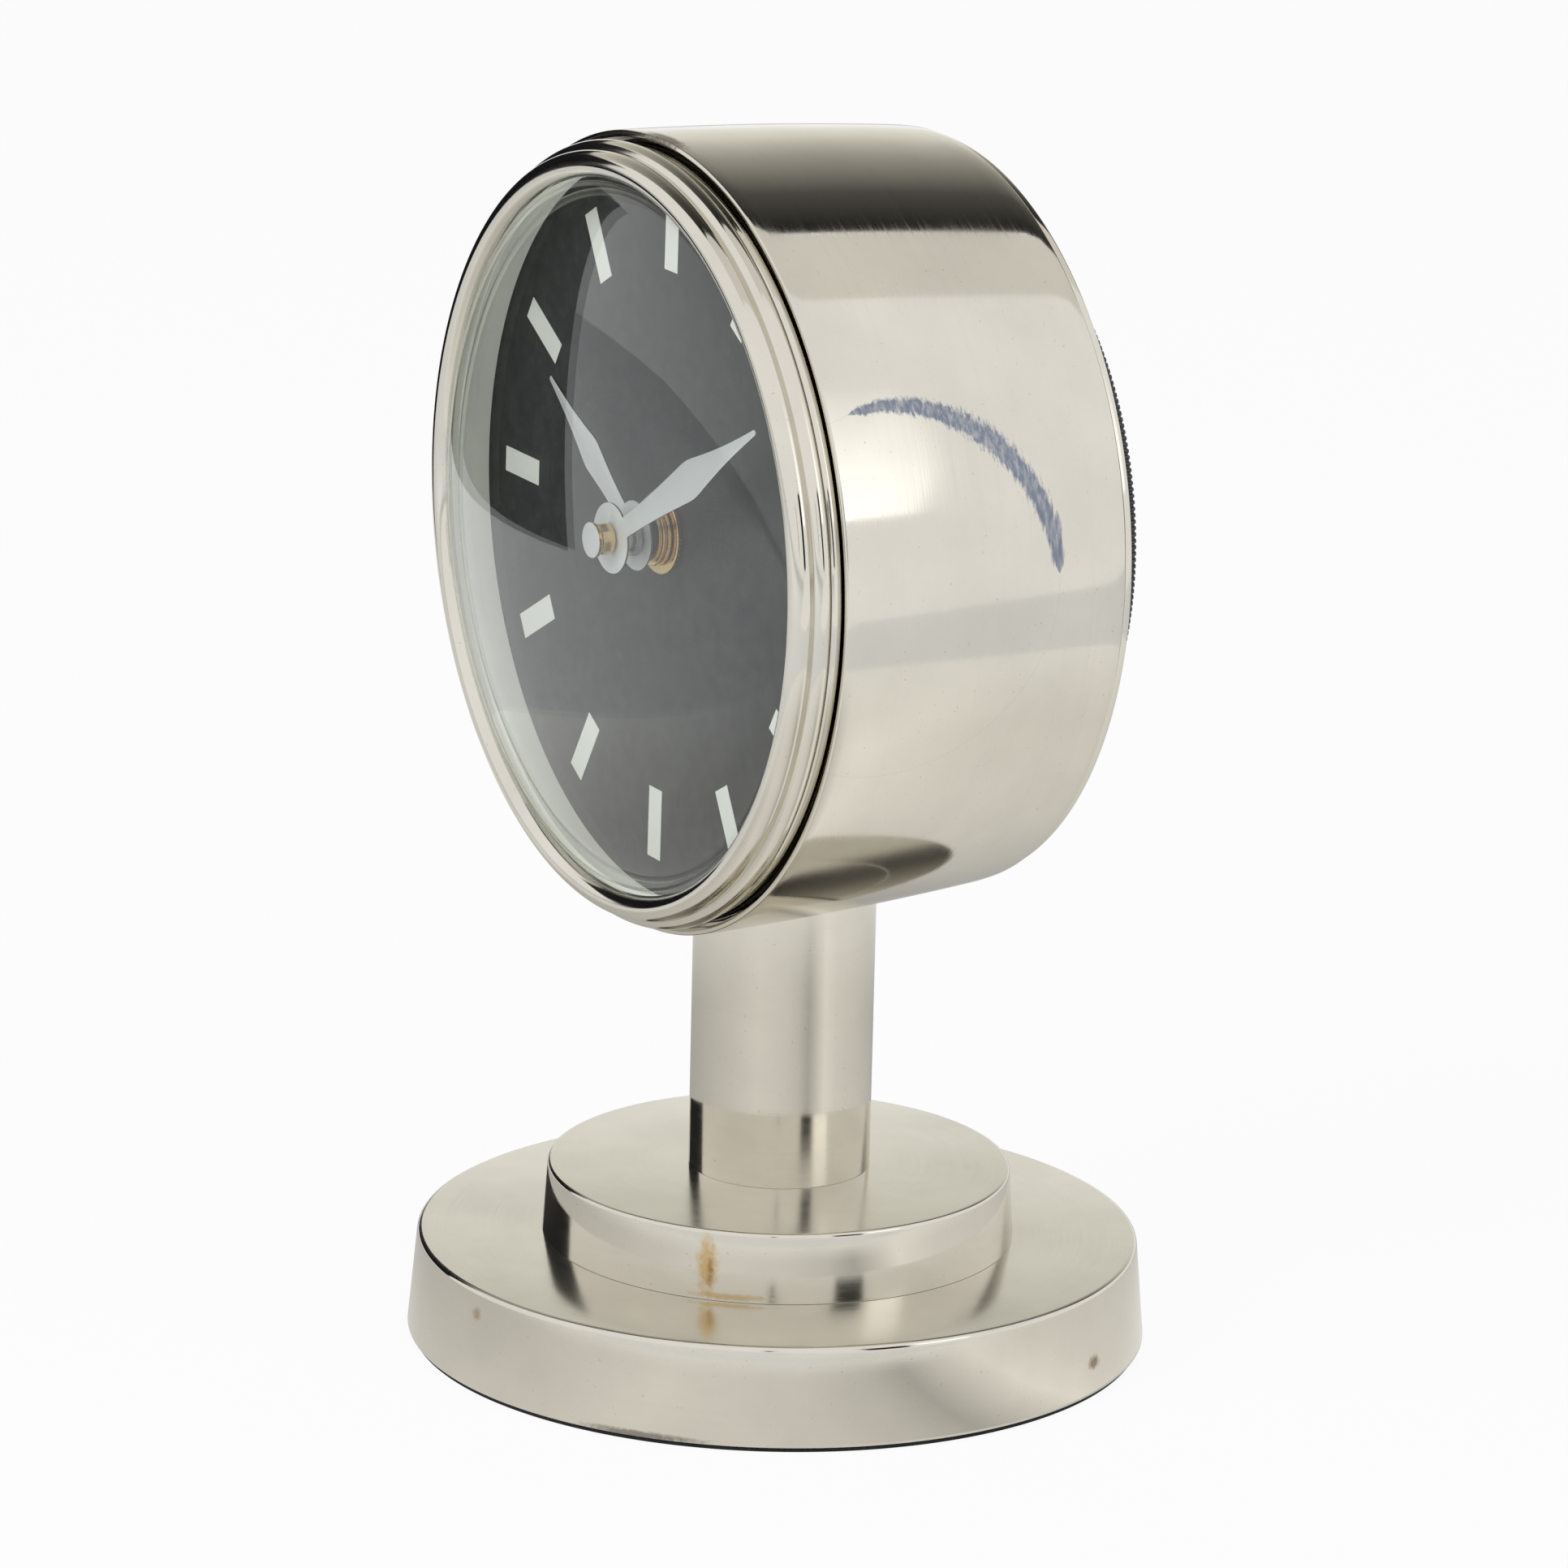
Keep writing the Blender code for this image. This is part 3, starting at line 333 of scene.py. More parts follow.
def nickel(name, vertical, spots=(), rough=0.13, brushed=0.5, top_haze=0.0, painted_reflection_arc=None,
           tone=(0.72, 0.69, 0.615)):
    """Polished nickel over turning marks, a little cloudy, duller on top, with spots where given, and with a
    painted reflection (a dark blue-grey arc) where given.
    """
    n = Nodes(name)
    ring = n.polar(vertical)
    fine = n.noise(ring, 2600.0, 3.0, 0.6)
    broad = n.noise(ring, 500.0, 2.0, 0.5)
    cloud = n.noise(n.coords.outputs["Object"], 38.0, 4.0, 0.55)
    speck = n.noise(n.coords.outputs["Object"], 1400.0, 2.0, 0.5)
    dark = tuple(value * 0.90 for value in tone)
    colour = n.mix(n.remap(cloud, 0.35, 0.7, 0.0, 1.0), tone, dark)
    colour = n.mix(n.remap(broad, 0.55, 0.8, 0.0, 0.25), colour, (0.66, 0.61, 0.53))
    colour = n.mix(n.remap(speck, 0.70, 0.78, 0.0, 0.45), colour, (0.35, 0.30, 0.24))
    stain_and_reflection = None
    for place, size, shade, amount in spots:
        here = n.math("MULTIPLY", n.spot(place, size), amount)
        colour = n.mix(here, colour, shade)
        stain_and_reflection = here if stain_and_reflection is None else n.math("MAXIMUM", stain_and_reflection, here)
    # Painted reflection: a dark blue-grey arc painted into the colour and made rougher. It stands in for a
    # reflection in the polished drum.
    if painted_reflection_arc:
        here = n.painted_reflection_arc(*painted_reflection_arc)
        colour = n.mix(here, colour, PAINTED_REFLECTION_BLUE)
        stain_and_reflection = n.math("MAXIMUM", stain_and_reflection, here)
    n.link(colour, n.shader.inputs["Base Color"])
    n.shader.inputs["Metallic"].default_value = 1.0
    roughness = n.math("ADD", n.remap(cloud, 0.3, 0.7, rough * 0.75, rough * 1.35),
                       n.remap(fine, 0.3, 0.7, -0.025, 0.035))
    if stain_and_reflection is not None:
        roughness = n.math("ADD", roughness, n.math("MULTIPLY", stain_and_reflection, 0.3))
    if top_haze:
        facing = n.add("ShaderNodeSeparateXYZ")
        n.link(n.coords.outputs["Normal"], facing.inputs[0])
        roughness = n.math("ADD", roughness, n.remap(facing.outputs[2], 0.6, 0.95, 0.0, top_haze))
    n.link(roughness, n.shader.inputs["Roughness"])
    n.shader.inputs["Anisotropic"].default_value = brushed
    tangent = n.add("ShaderNodeTangent", direction_type="RADIAL", axis="Z" if vertical else "Y")
    n.link(tangent.outputs[0], n.shader.inputs["Tangent"])
    n.bump(n.math("ADD", fine, n.math("MULTIPLY", broad, 0.6)), 0.10, 0.00002)
    return n.material


def plain(name, tone, rough, metallic=0.0, grain=600.0, bump=0.1, spread=0.12, deep=0.00003,
          glow=0.0):
    """A moulded, painted or cast surface with an uneven tone and a fine grain; glow, where given, is painted
    light: an emission in the surface's own tone.
    """
    n = Nodes(name)
    cloud = n.noise(n.coords.outputs["Object"], 45.0, 4.0, 0.6)
    fine = n.noise(n.coords.outputs["Object"], grain, 3.0, 0.6)
    dark = tuple(value * (1.0 - spread) for value in tone)
    light = tuple(min(1.0, value * (1.0 + spread)) for value in tone)
    colour = n.mix(n.remap(cloud, 0.3, 0.7, 0.0, 1.0), dark, light)
    n.link(colour, n.shader.inputs["Base Color"])
    n.shader.inputs["Metallic"].default_value = metallic
    n.shader.inputs["Emission Color"].default_value = (*tone, 1.0)
    n.shader.inputs["Emission Strength"].default_value = glow
    n.link(n.remap(fine, 0.3, 0.7, rough * 0.8, rough * 1.2), n.shader.inputs["Roughness"])
    n.bump(fine, bump, deep)
    return n.material


def glass_look():
    """Thin clear glass: what is behind shows straight through, under a reflection that grows at the edge."""
    n = Nodes("domed_glass")
    haze = n.noise(n.coords.outputs["Object"], 30.0, 4.0, 0.6)
    n.shader.inputs["Base Color"].default_value = (1.0, 1.0, 1.0, 1.0)
    n.shader.inputs["Metallic"].default_value = 1.0
    n.link(n.remap(haze, 0.3, 0.7, 0.0, 0.02), n.shader.inputs["Roughness"])
    through = n.add("ShaderNodeBsdfTransparent")
    through.inputs["Color"].default_value = (0.965, 0.98, 0.972, 1.0)
    fresnel = n.add("ShaderNodeFresnel")
    geometry = n.add("ShaderNodeNewGeometry")
    # A ray that leaves the thin glass meets the same surface as one that enters it.
    n.link(n.remap(geometry.outputs["Backfacing"], 0.0, 1.0, 1.5, 1 / 1.5), fresnel.inputs["IOR"])
    path = n.add("ShaderNodeLightPath")
    dust = n.remap(n.noise(n.coords.outputs["Object"], 2200.0, 2.0, 0.5), 0.74, 0.80, 0.0, 0.10)
    mirror = n.math("MULTIPLY", n.math("ADD", fresnel.outputs[0], dust),
                    n.math("SUBTRACT", 1.0, path.outputs["Is Shadow Ray"]))
    both = n.add("ShaderNodeMixShader")
    n.link(mirror, both.inputs[0])
    n.link(through.outputs[0], both.inputs[1])
    n.link(n.shader.outputs[0], both.inputs[2])
    n.link(both.outputs[0], n.tree.nodes["Material Output"].inputs["Surface"])
    return n.material


# A spot is its place and size in millimetres, its colour and its strength.
# Besides its soot spot, the drum carries a painted reflection: a dark blue-grey arc on its +X side.
drum_nickel = nickel("drum_nickel", False, [((4, -31, 235), (9, 2.0, 4), SOOT, 0.8)], 0.075, 0.4,
                     painted_reflection_arc=((-20.30, 162.53), 33.65, 1.793, 0.045, 2.1))
bezel_nickel = nickel("bezel_nickel", False, [], 0.07, 0.3)
base_nickel = nickel("base_nickel", True, [
    ((8.0, -69.0, 15.5), (1.6, 2.4, 1.6), BROWN, 0.55),
    ((62.0, 34.0, 7.0), (2.4, 2.4, 1.6), CHIP, 0.8),
    ((45.0, -54.0, 1.5), (14.0, 14.0, 0.9), SCUFF, 0.7)], 0.07, 0.5, 0.10)
step_nickel = nickel("step_nickel", True, [
    ((31.0, -33.0, 27.0), (2.6, 2.6, 7.0), GOLD, 0.85), ((31.5, -32.5, 26.0), (0.9, 0.9, 4.0), BROWN, 0.8),
    ((34.0, -30.0, 21.0), (9.0, 9.0, 0.8), GOLD, 0.7)], 0.07, 0.5, 0.10)
stem_nickel = nickel("stem_nickel", True, [], 0.09, 0.6)
black_plastic = plain("charcoal_plastic", (0.035, 0.035, 0.038), 0.42, 0.0, 900.0, 0.25)
felt = plain("pad_black", (0.012, 0.012, 0.012), 0.9, 0.0, 2500.0, 0.6)
dial_paint = plain("dial_charcoal", (0.016, 0.016, 0.0175), 0.55, 0.0, 300.0, 0.0, 0.06, 0.0)
bar_paint = plain("bar_offwhite", (0.86, 0.86, 0.80), 0.5, 0.0, 1500.0, 0.05, 0.04)
# The dial surround glows in its own cream tone. This is painted light that brightens it as if lit where it
# sits behind the glass.
cream = plain("grey_cream", (0.80, 0.80, 0.72), 0.45, 0.0, 700.0, 0.1, 0.08, glow=0.32)
brass = plain("turned_brass", (0.70, 0.50, 0.24), 0.24, 1.0, 1500.0, 0.12, 0.15)
steel = plain("grey_steel", (0.42, 0.42, 0.43), 0.30, 1.0, 1500.0, 0.1, 0.12)
hand_paint = plain("hand_silver", (0.66, 0.66, 0.66), 0.42, 0.3, 3000.0, 0.10, 0.05)
hand_edge = plain("hand_cut_edge", (0.30, 0.25, 0.17), 0.4, 1.0, 1500.0, 0.1)
rubber = plain("black_rubber_look", (0.02, 0.02, 0.02), 0.75, 0.0, 900.0, 0.2)
nylon = plain("white_nylon_look", (0.72, 0.72, 0.68), 0.4, 0.0, 700.0, 0.05, 0.05)
copper = plain("enamel_copper_look", (0.55, 0.20, 0.09), 0.3, 0.9, 2500.0, 0.5)
board_green = plain("board_green_look", (0.03, 0.15, 0.06), 0.4, 0.0, 500.0, 0.1, 0.2)
cell_jacket = plain("cell_jacket_look", (0.10, 0.10, 0.11), 0.35, 0.3, 300.0, 0.05)
clear = glass_look()

FINISH = {
    "polished_nickel": steel, "nickelled_casting": base_nickel, "black_felt": felt, "zinced_steel": steel,
    "charcoal_dial": dial_paint, "grey_cream_plastic": cream, "clear_glass": clear,
    "black_plastic": black_plastic, "black_rubber": rubber, "brass": brass, "white_nylon": nylon,
    "enamelled_copper": copper, "circuit_green": board_green, "cell_jacket": cell_jacket,
    "silver_paint": hand_paint,
}
for part in frame["record"]["subparts"]:
    node = frame["nodes"][part["node"]]
    node.data.materials.clear()
    node.data.materials.append(FINISH[part["material_slot"]])
    node.data.shade_smooth()
    node.data.set_sharp_from_angle(angle=math.radians(SHARP_ANGLE))


# ---------------------------------------------------------------- pedestal

lathe("base_lower_disc", [
    (4.0, 20.0), (69.2, 20.0, 1.1), (70.95, 1.0, 0.25), (67.0, 1.0, 0.1), (65.4, 16.0), (14.0, 16.0),
    (14.0, 13.8), (4.0, 13.8)], base_nickel, CASE, as_is, hides=["base_plate"])
lathe("base_upper_disc", [
    (4.0, 33.5), (44.4, 33.5, 0.8), (45.3, 20.02, 0.1), (41.8, 20.02), (40.9, 30.0), (4.0, 30.0)],
    step_nickel, CASE, as_is, hides=["base_step"])
lathe("base_foot_pad", [(0.0, 0.02), (70.2, 0.02, 0.2), (70.3, 0.8, 0.2), (0.0, 0.8)], felt, CASE,
      as_is, hides=["base_pad"])


def drum_radius(forward):
    """Outer radius of the drum at a distance forward of the case's middle."""
    share = (DRUM_FRONT - forward) / DRUM_DEPTH
    return DRUM_RADIUS - DRUM_TAPER * share + DRUM_CROWN * 4 * share * (1 - share)


def stem_top(turn, radius):
    """Height at which the stem's wall meets the drum."""
    across, along = radius * math.cos(turn), radius * math.sin(turn)
    return AXIS_HEIGHT - math.sqrt((drum_radius(-along) + DRUM_SEAT_GAP) ** 2 - across ** 2)


points, faces = [], []
for step in range(STEM_SIDES):
    turn = 2 * PI * step / STEM_SIDES
    c, s = math.cos(turn), math.sin(turn)
    outline = [(STEM_RADIUS - 0.05, STEM_FOOT), (STEM_RADIUS, STEM_FOOT + 0.18),
               (STEM_RADIUS, stem_top(turn, STEM_RADIUS)), (STEM_BORE, stem_top(turn, STEM_BORE)),
               (STEM_BORE, STEM_FOOT)]
    points += [(r * c, r * s, z) for r, z in outline]
for step in range(STEM_SIDES):
    here, after = step * 5, (step + 1) % STEM_SIDES * 5
    for ring in range(5):
        faces.append([here + ring, after + ring, after + (ring + 1) % 5, here + (ring + 1) % 5])
new_object("stem_column", points, faces, stem_nickel, CASE, hides=["stem_tube"])


# ---------------------------------------------------------------- drum, bezel, glass, dial

stations = [DRUM_FRONT - DRUM_DEPTH * step / 24 for step in range(1, 24)]
lathe("drum_side", [
    (73.62, 31.6), (74.2, 32.05, 0.15), (74.95, 31.9, 0.5), *[(drum_radius(z), z) for z in stations],
    (71.8, -28.1, 0.5), (71.0, -28.55, 0.2), (70.5, -28.1), (71.2, -10.0), (73.0, 0.0), (73.4, 25.0),
    (66.3, 25.4), (66.3, 26.6), (73.5, 26.6)], drum_nickel, CASE,
    hides=["case_drum"])
lathe("drum_back", [
    (71.0, -30.1, 0.4), (71.0, -28.65, 0.1), (70.2, -28.65), (70.2, -25.4), (69.0, -25.4),
    (69.0, -28.9), (55.0, -28.9), (55.0, -30.1)], drum_nickel, CASE,
    hides=["back_plate"])

FRONT_BEAD, REAR_BEAD = (69.26, 38.1), (71.46, 35.3)
lathe("bezel_turned", [
    (66.76, 38.4), *arc(FRONT_BEAD, 2.5, 158.9, -22, 20), *arc(REAR_BEAD, 2.0, 58, -58, 16),
    (72.7, 33.3, 0.2), (72.8, 32.6, 0.0), (72.8, 29.2, 0.2), (71.66, 29.2), (71.66, 36.6),
    (68.96, 36.6), (68.96, 38.4)], bezel_nickel, CASE, hides=["bezel_ring"])


def dome(radius, base, rise):
    """Points of a domed glass from its foot to the axis: steep at the rim, then evenly curved."""
    turns = [PI / 2 * step / 32 for step in range(32)]
    return [*[(radius * math.cos(turn), base + rise * math.sin(turn) ** 1.2, 0.0) for turn in turns],
            (0.0, base + rise, 0.0)]


lathe("front_glass", [
    (68.66, 36.6), (68.66, 38.1, 0.2), *dome(66.06, 38.1, 11.0), *reversed(dome(64.56, 36.6, 11.0))],
    clear, CASE, hides=["glass_lens"], smooth=60.0)
lathe("dial_surround", [
    (71.36, 28.2), (71.36, 36.3), (66.76, 36.3, 0.3), (69.7, 28.2, 0.2)], cream, CASE,
    hides=["spacer_ring"])
lathe("dial_disc", [(4.3, 27.1), (73.0, 27.1), (73.0, 27.9), (4.3, 27.9)], dial_paint, CASE,
      hides=["dial_plate"])

DIAL_TURN = math.radians(1.24)
HOUR_BAR = [(-2.44, 49.5), (2.44, 49.5), (2.44, 63.1), (-2.44, 63.1)]
for hour in range(12):
    slab(f"hour_bar_{hour:02d}", turned(HOUR_BAR, DIAL_TURN + hour * PI / 6), 27.91, 27.97, bar_paint, CASE,
         smooth=20.0)


# ---------------------------------------------------------------- hub and hands

lathe("hub_washer", [(4.3, 28.2), (7.6, 28.2, 0.15), (7.8, 29.2, 0.3), (4.3, 29.2)], brass, CASE,
      sides=64, hides=["brass_washer"])
lathe("hub_nut", [
    (4.15, 29.5), (6.1, 29.5, 0.2), (6.1, 30.1, 0.2), (5.5, 30.2), (5.5, 30.5), (6.0, 30.6, 0.2),
    (5.9, 31.1, 0.2), (5.2, 31.2), (5.2, 31.6, 0.2), (4.15, 31.7)], brass, CASE, sides=64,
    hides=["bushing_nut"])


def lance(length, widest, width, neck, tip, hub):
    """Outline of a hand: round hub, slim neck that swells to its widest point, then a blunt tip."""
    start = math.asin(neck / 2 / hub)
    outline = [(hub * math.sin(start + (2 * PI - 2 * start) * step / 48),
                hub * math.cos(start + (2 * PI - 2 * start) * step / 48)) for step in range(49)]
    root = hub * math.cos(start)
    left = []
    for step in range(1, 15):
        share = step / 14
        bow = -0.35 * math.sin(PI * share) * (1 - 0.4 * share)
        left.append((neck / 2 + (width / 2 - neck / 2) * share + bow, root + (widest - root) * share))
    for step in range(1, 15):
        share = step / 14
        bow = -0.45 * math.sin(PI * share)
        half = width / 2 + (tip / 2 - width / 2) * share + bow
        left.append((half, widest + (length - tip / 2 - widest) * share))
    smooth = [left[0]]
    for before, here, after in zip(left, left[1:], left[2:]):
        smooth.append(((before[0] + 2 * here[0] + after[0]) / 4, here[1]))
    smooth.append(left[-1])
    crown = [(tip / 2 * math.cos(PI * step / 6), length - tip / 2 + tip / 2 * math.sin(PI * step / 6))
             for step in range(1, 6)]
    outline += [(-x, y) for x, y in smooth]
    outline += [(-x, y) for x, y in crown]
    outline += [(x, y) for x, y in reversed(smooth)]
    return outline


def hand(name, outline, hole, plane, clockwise, body, hides):
    """Painted flat hand with bare cut edges, about a plane forward of the case's middle."""
    made = slab(name, turned(outline, clockwise), plane - HAND_HALF_THICK, plane + HAND_HALF_THICK,
                hand_paint, body, hides, 0.05, hole)
    made.data.materials.append(hand_edge)
    for face in made.data.polygons:
        if abs(face.normal.y) < 0.6:
            face.material_index = 1
    return made


hand("hour_hand_shaped", lance(41.4, 21.2, 7.2, 4.2, 1.1, 6.55), circle(2.85, 32), 33.9,
     math.radians(304.5), "hour_drive", ["hour_hand"])
hand("minute_hand_shaped", lance(61.5, 34.4, 7.5, 3.8, 1.1, 6.64), circle(1.8, 24), 38.95,
     math.radians(60.0), "minute_drive", ["minute_hand"])
lathe("minute_collet", [(1.8, 39.45), (2.9, 39.45, 0.1), (3.05, 39.9, 0.1), (2.8, 41.9, 0.1), (1.8, 42.15)],
      brass, "minute_drive", sides=9, hides=["minute_hand_bush"], smooth=20.0)
lathe("hour_collet", [(2.85, 34.4), (3.9, 34.4, 0.1), (3.7, 35.5, 0.1), (2.85, 35.8)], steel, "hour_drive",
      sides=12, hides=["hour_hand_bush"], smooth=20.0)
cap = lathe("cap_disc", [(0.0, 42.45), (3.3, 42.45, 0.1), (3.4, 43.3, 0.25), (0.0, 43.45)], brass,
            "minute_drive", sides=64, hides=["hand_cap"])
cap.data.materials.append(hand_paint)
for face in cap.data.polygons:
    if face.normal.y < -0.8:
        face.material_index = 1


# ---------------------------------------------------------------- rear cover with ribs

ring = [(radius, 2 * PI * (rib + shift) / RIBS) for rib in range(RIBS) for shift, radius in RIB_SHAPE]
levels = [(-30.4, 0.0), (-38.9, 0.0), (-39.6, -0.3), (-40.1, -1.1)]
points, faces = [], []
for z, inset in levels:
    for radius, turn in ring:
        points.append(upright(((radius + inset) * math.cos(turn), (radius + inset) * math.sin(turn), z)))
size = len(ring)
for level in range(len(levels) - 1):
    for step in range(size):
        after = (step + 1) % size
        faces.append([level * size + step, level * size + after, (level + 1) * size + after,
                      (level + 1) * size + step])
faces.append(list(range(3 * size, 4 * size)))
inner = [(54.6, -30.4), (54.6, -27.0), (52.6, -27.0), (52.6, -38.1)]
first = len(points)
for r, z in inner:
    for radius, turn in ring:
        points.append(upright((r * math.cos(turn), r * math.sin(turn), z)))
for step in range(size):
    after = (step + 1) % size
    faces.append([step, after, first + after, first + step])
    for level in range(len(inner) - 1):
        faces.append([first + level * size + step, first + level * size + after,
                      first + (level + 1) * size + after, first + (level + 1) * size + step])
faces.append(list(range(first + 3 * size, first + 4 * size)))
new_object("ribbed_cover", points, faces, black_plastic, "cover_body", 25.0, ["rear_cover"])


# ---------------------------------------------------------------- studio

def stage_plane(name, width, depth, place, look, facing=None, camera=True):
    """Flat rectangle of the studio, turned to a point, that the camera may be unable to see."""
    mesh = bpy.data.meshes.new(name)
    half_w, half_d = width / 2, depth / 2
    mesh.from_pydata([(-half_w, -half_d, 0), (half_w, -half_d, 0), (half_w, half_d, 0), (-half_w, half_d, 0)],
                     [], [(0, 1, 2, 3)])
    mesh.materials.append(look)
    made = bpy.data.objects.new(name, mesh)
    bpy.context.scene.collection.objects.link(made)
    made.location = place
    if facing is not None:
        made.rotation_euler = (Vector(facing) - Vector(place)).to_track_quat("Z", "Y").to_euler()
    made.visible_camera = camera
    if not camera:
        made.visible_diffuse = False
        made.visible_shadow = False
        made.visible_transmission = False
    return made


def floor_look():
    """White sweep that looks white to the eye and in reflections, and keeps part of the object's shadow."""
    n = Nodes("studio_floor")
    n.shader.inputs["Base Color"].default_value = (0.90, 0.90, 0.90, 1.0)
    n.shader.inputs["Roughness"].default_value = 0.7
    n.shader.inputs["Specular IOR Level"].default_value = 0.1
    glow = n.add("ShaderNodeEmission")
    path = n.add("ShaderNodeLightPath")
    seen = n.math("MAXIMUM", path.outputs["Is Camera Ray"], path.outputs["Is Transmission Ray"])
    share = n.math("ADD", n.math("MULTIPLY", seen, 0.92),
                   n.math("MULTIPLY", path.outputs["Is Glossy Ray"], 0.25))
    both = n.add("ShaderNodeMixShader")
    n.link(share, both.inputs[0])
    n.link(n.shader.outputs[0], both.inputs[1])
    n.link(glow.outputs[0], both.inputs[2])
    n.link(both.outputs[0], n.tree.nodes["Material Output"].inputs["Surface"])
    return n.material


def card_look(name, *tones, start=0.0, end=1.0):
    """Card that glows evenly in one tone, or in a run of tones between two places along X."""
    n = Nodes(name)
    glow = n.add("ShaderNodeEmission")
    if len(tones) == 1:
        glow.inputs["Color"].default_value = (*tones[0], 1.0)
    else:
        split = n.add("ShaderNodeSeparateXYZ")
        n.link(n.coords.outputs["Object"], split.inputs[0])
        stops = [(index / (len(tones) - 1), tone) for index, tone in enumerate(tones)]
        n.link(n.ramp(n.remap(split.outputs[0], start, end, 0.0, 1.0), stops), glow.inputs["Color"])
    n.link(glow.outputs[0], n.tree.nodes["Material Output"].inputs["Surface"])
    return n.material


stage_plane("studio_floor", 8.0, 8.0, (0.0, 0.0, 0.0), floor_look())


LAMP_TARGET = Vector((0, 0, 0.14))


def lamp(name, place, size, power):
    """Soft rectangular lamp aimed at the clock, that the metal doesn't mirror."""
    data = bpy.data.lights.new(name, "AREA")
    data.shape = "RECTANGLE"
    data.size, data.size_y = size
    data.energy = power
    made = bpy.data.objects.new(name, data)
    bpy.context.scene.collection.objects.link(made)
    made.location = place
    made.rotation_euler = (LAMP_TARGET - made.location).to_track_quat("-Z", "Y").to_euler()
    made.visible_glossy = False


lamp("key_light", (0.25, -1.7, 1.25), (1.3, 1.0), 17.0)
lamp("side_light", (1.4, 0.5, 1.2), (0.9, 0.9), 7.0)

world = bpy.data.worlds.new("studio_world")
bpy.context.scene.world = world
world.use_nodes = True
tree = world.node_tree
tree.nodes.clear()
output = tree.nodes.new("ShaderNodeOutputWorld")
soft = tree.nodes.new("ShaderNodeBackground")
soft.inputs["Color"].default_value = (0.80, 0.82, 0.85, 1.0)
soft.inputs["Strength"].default_value = 0.62
white = tree.nodes.new("ShaderNodeBackground")
white.inputs["Color"].default_value = (1.0, 1.0, 1.0, 1.0)
white.inputs["Strength"].default_value = 1.0
path = tree.nodes.new("ShaderNodeLightPath")
seen = tree.nodes.new("ShaderNodeMath")
seen.operation = "MAXIMUM"
tree.links.new(path.outputs["Is Camera Ray"], seen.inputs[0])
tree.links.new(path.outputs["Is Transmission Ray"], seen.inputs[1])
mixed = tree.nodes.new("ShaderNodeMixShader")
glossy = tree.nodes.new("ShaderNodeMath")
glossy.operation = "MAXIMUM"
tree.links.new(seen.outputs[0], glossy.inputs[0])
tree.links.new(path.outputs["Is Glossy Ray"], glossy.inputs[1])
tree.links.new(glossy.outputs[0], mixed.inputs[0])
tree.links.new(soft.outputs[0], mixed.inputs[1])
tree.links.new(white.outputs[0], mixed.inputs[2])
tree.links.new(mixed.outputs[0], output.inputs["Surface"])


# ---------------------------------------------------------------- cards that only reflections show

def card(name, look, corners):
    """Flat card through its corners, in metres."""
    mesh = bpy.data.meshes.new(name)
    mesh.from_pydata(corners, [], [tuple(range(len(corners)))])
    mesh.materials.append(look)
    made = bpy.data.objects.new(name, mesh)
    bpy.context.scene.collection.objects.link(made)
    made.visible_camera = made.visible_diffuse = made.visible_shadow = made.visible_transmission = False
    return made


def strip_card(name, look, first, second, near_y, far_y):
    """Card that runs along Y, between two (x, z) points."""
    return card(name, look, [(first[0], near_y, first[1]), (second[0], near_y, second[1]),
                             (second[0], far_y, second[1]), (first[0], far_y, first[1])])


room_tones = card_look("room_tones", (0.95, 0.94, 0.89), (0.80, 0.79, 0.72), (0.40, 0.39, 0.35),
                       (0.09, 0.088, 0.08), (0.006, 0.006, 0.007), start=-1.60, end=-0.29)
dark_card = card_look("dark_card", (0.010, 0.010, 0.012))
dim_card = card_look("dim_card", (0.05, 0.05, 0.055))
pale_card = card_look("pale_card", (0.80, 0.79, 0.75))
white_card = card_look("white_card", (1.0, 1.0, 1.0))
FLOOR_RADIUS = 0.36
FLOOR_TONES = [(-180, 0.48), (-136, 0.62), (-96, 0.72), (-58, 0.86), (-25, 0.80), (-8, 0.70), (3, 0.52),
               (12, 0.72), (24, 1.0), (41, 0.86), (79, 0.74), (110, 0.60), (135, 0.44), (180, 0.46)]


def round_look(name, tones):
    """Card that glows in tones set by the compass direction (degrees) from the clock."""
    n = Nodes(name)
    split = n.add("ShaderNodeSeparateXYZ")
    n.link(n.coords.outputs["Object"], split.inputs[0])
    turn = n.remap(n.math("ARCTAN2", split.outputs[1], split.outputs[0]), -PI, PI, 0.0, 1.0)
    stops = [((degree + 180) / 360, (tone, tone * 0.985, tone * 0.94)) for degree, tone in tones]
    away = n.add("ShaderNodeVectorMath", operation="LENGTH")
    n.link(n.coords.outputs["Object"], away.inputs[0])
    glow = n.add("ShaderNodeEmission")
    rim = n.remap(away.outputs["Value"], 0.20, FLOOR_RADIUS, 0.0, 1.0)
    n.link(n.mix(rim, n.ramp(turn, stops), (0.96, 0.96, 0.94)), glow.inputs["Color"])
    n.link(glow.outputs[0], n.tree.nodes["Material Output"].inputs["Surface"])
    return n.material


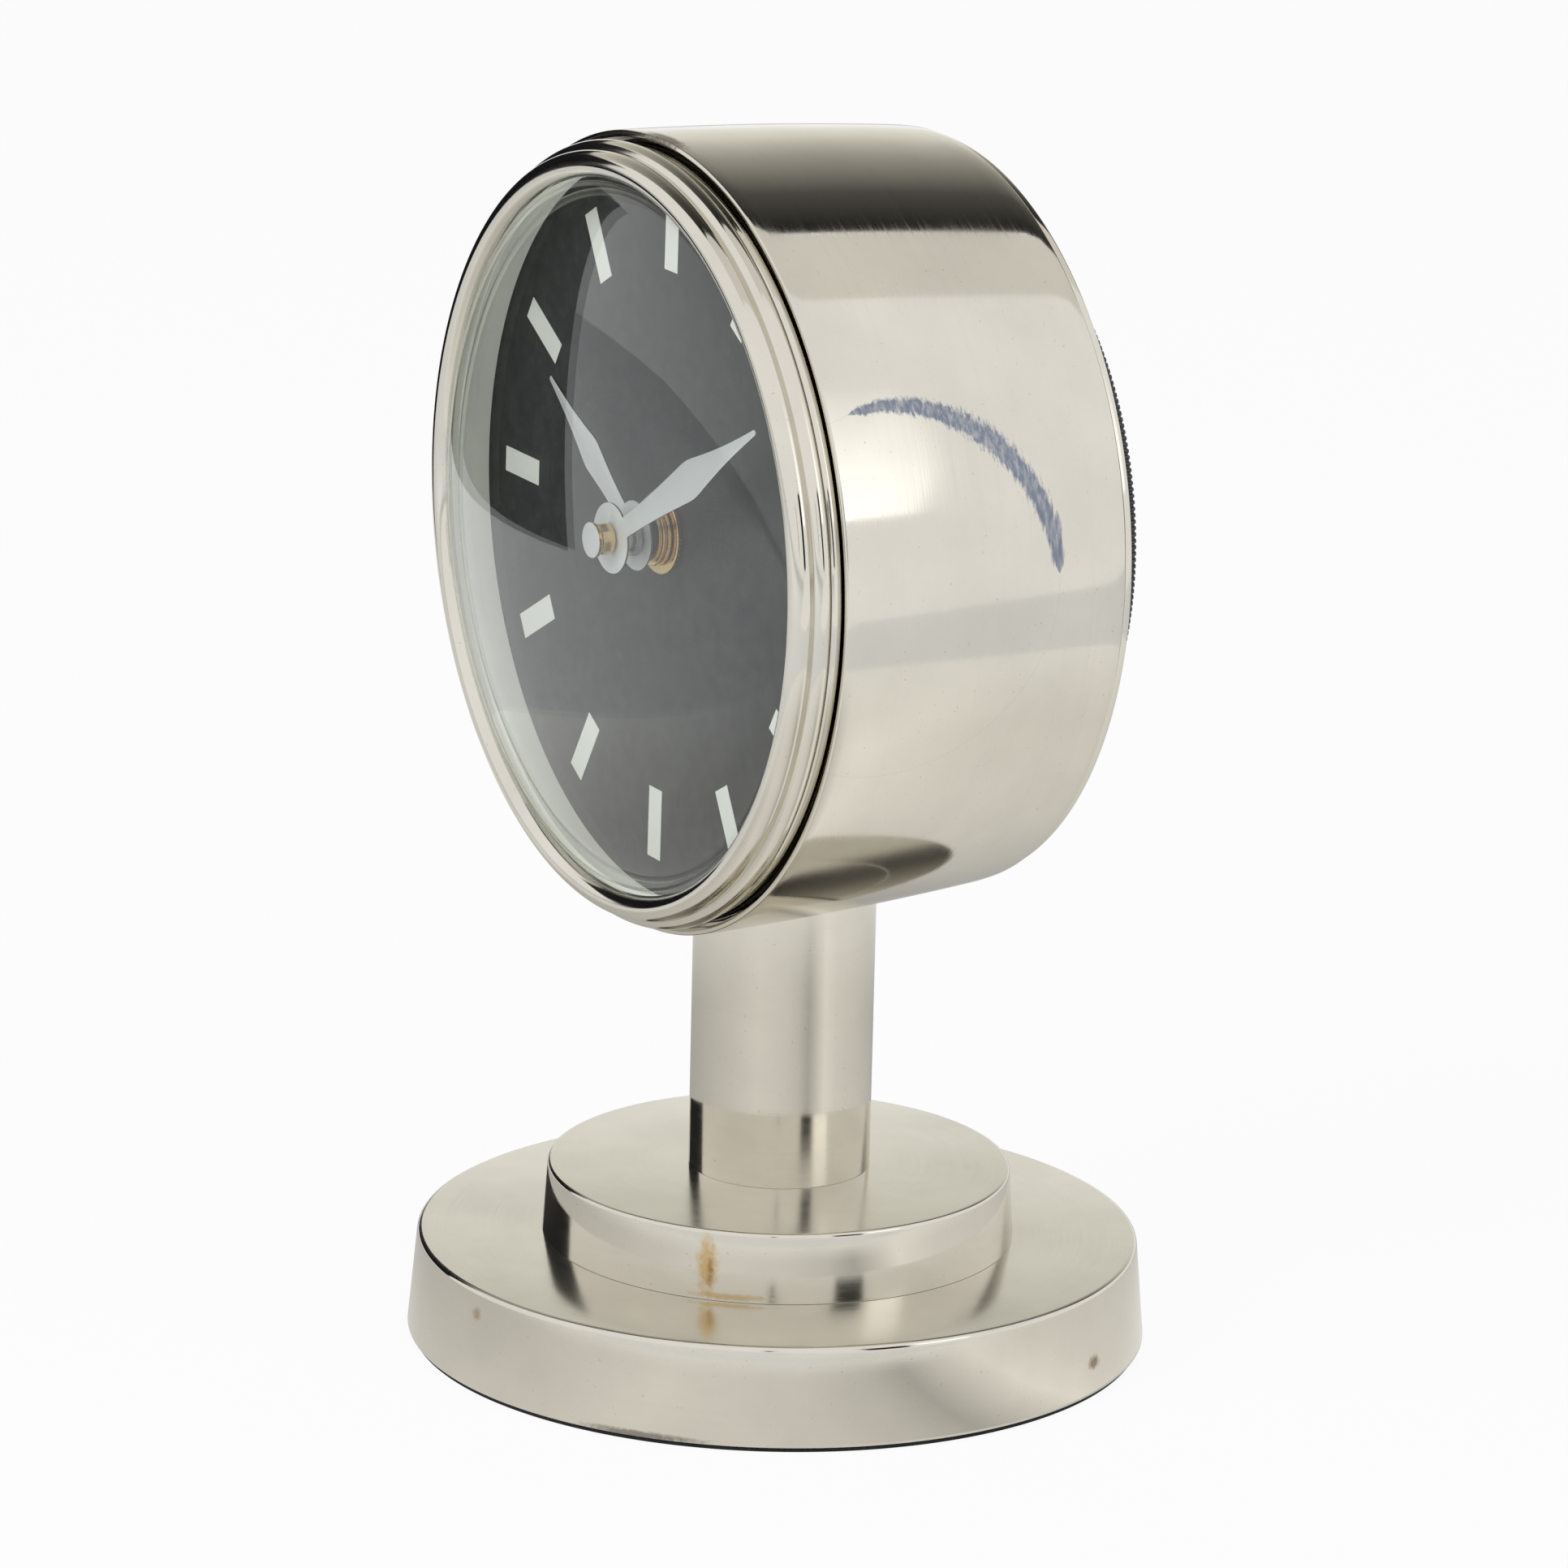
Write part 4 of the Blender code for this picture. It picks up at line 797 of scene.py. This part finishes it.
round_floor = round_look("round_floor", FLOOR_TONES)
soft_box = card_look("soft_box", (1.75, 1.75, 1.75), (1.4, 1.4, 1.4), (1.05, 1.05, 1.05),
                     start=1.15, end=0.80)
strip_card("card_room", room_tones, (-1.60, 0.36), (-0.29, 1.56), -0.5, 2.6)
strip_card("card_over", pale_card, (-0.27, 1.57), (0.33, 1.60), -0.5, 2.6)
card("card_round_floor", round_floor, [
    (FLOOR_RADIUS * math.cos(PI * step / 32), FLOOR_RADIUS * math.sin(PI * step / 32), 0.0015)
    for step in range(64)])
strip_card("card_bright_side", white_card, (0.60, 0.004), (3.9, 0.004), -0.4, 3.9)
strip_card("card_soft_box", soft_box, (1.15, 0.42), (0.80, 1.05), 0.30, 0.72)
card("card_table_end", dark_card, [(-0.58, -0.37, 0.0), (-0.58, 0.14, 0.075), (-0.58, 0.14, 0.45),
                                   (-0.58, -0.37, 0.45)])
stage_plane("card_right", 0.34, 0.5, (1.35, 0.11, 0.42), dark_card, (0, 0, 0.0), False)
stage_plane("card_viewer", 0.06, 0.35, (1.30, -0.80, 0.42), dim_card, (0, 0, 0.0), False)


# ---------------------------------------------------------------- camera

CAMERA_PLACE = (1.14792, -0.66369, 0.46559)
camera_data = bpy.data.cameras.new("photo_camera")
camera = bpy.data.objects.new("photo_camera", camera_data)
bpy.context.scene.collection.objects.link(camera)
camera_data.sensor_width = 36.0
camera_data.lens = 166.45
yaw, pitch, roll = math.radians(59.995), math.radians(15.076), math.radians(1.34)
look = Vector((-math.sin(yaw) * math.cos(pitch), math.cos(yaw) * math.cos(pitch), -math.sin(pitch)))
right = look.cross(Vector((0, 0, 1))).normalized()
above = right.cross(look)
right_rolled = right * math.cos(roll) + above * math.sin(roll)
above_rolled = above * math.cos(roll) - right * math.sin(roll)
turn = Matrix((right_rolled, above_rolled, -look)).transposed()
camera.matrix_world = Matrix.Translation(CAMERA_PLACE) @ turn.to_4x4()
bpy.context.scene.camera = camera
bpy.context.scene.view_settings.view_transform = "Standard"
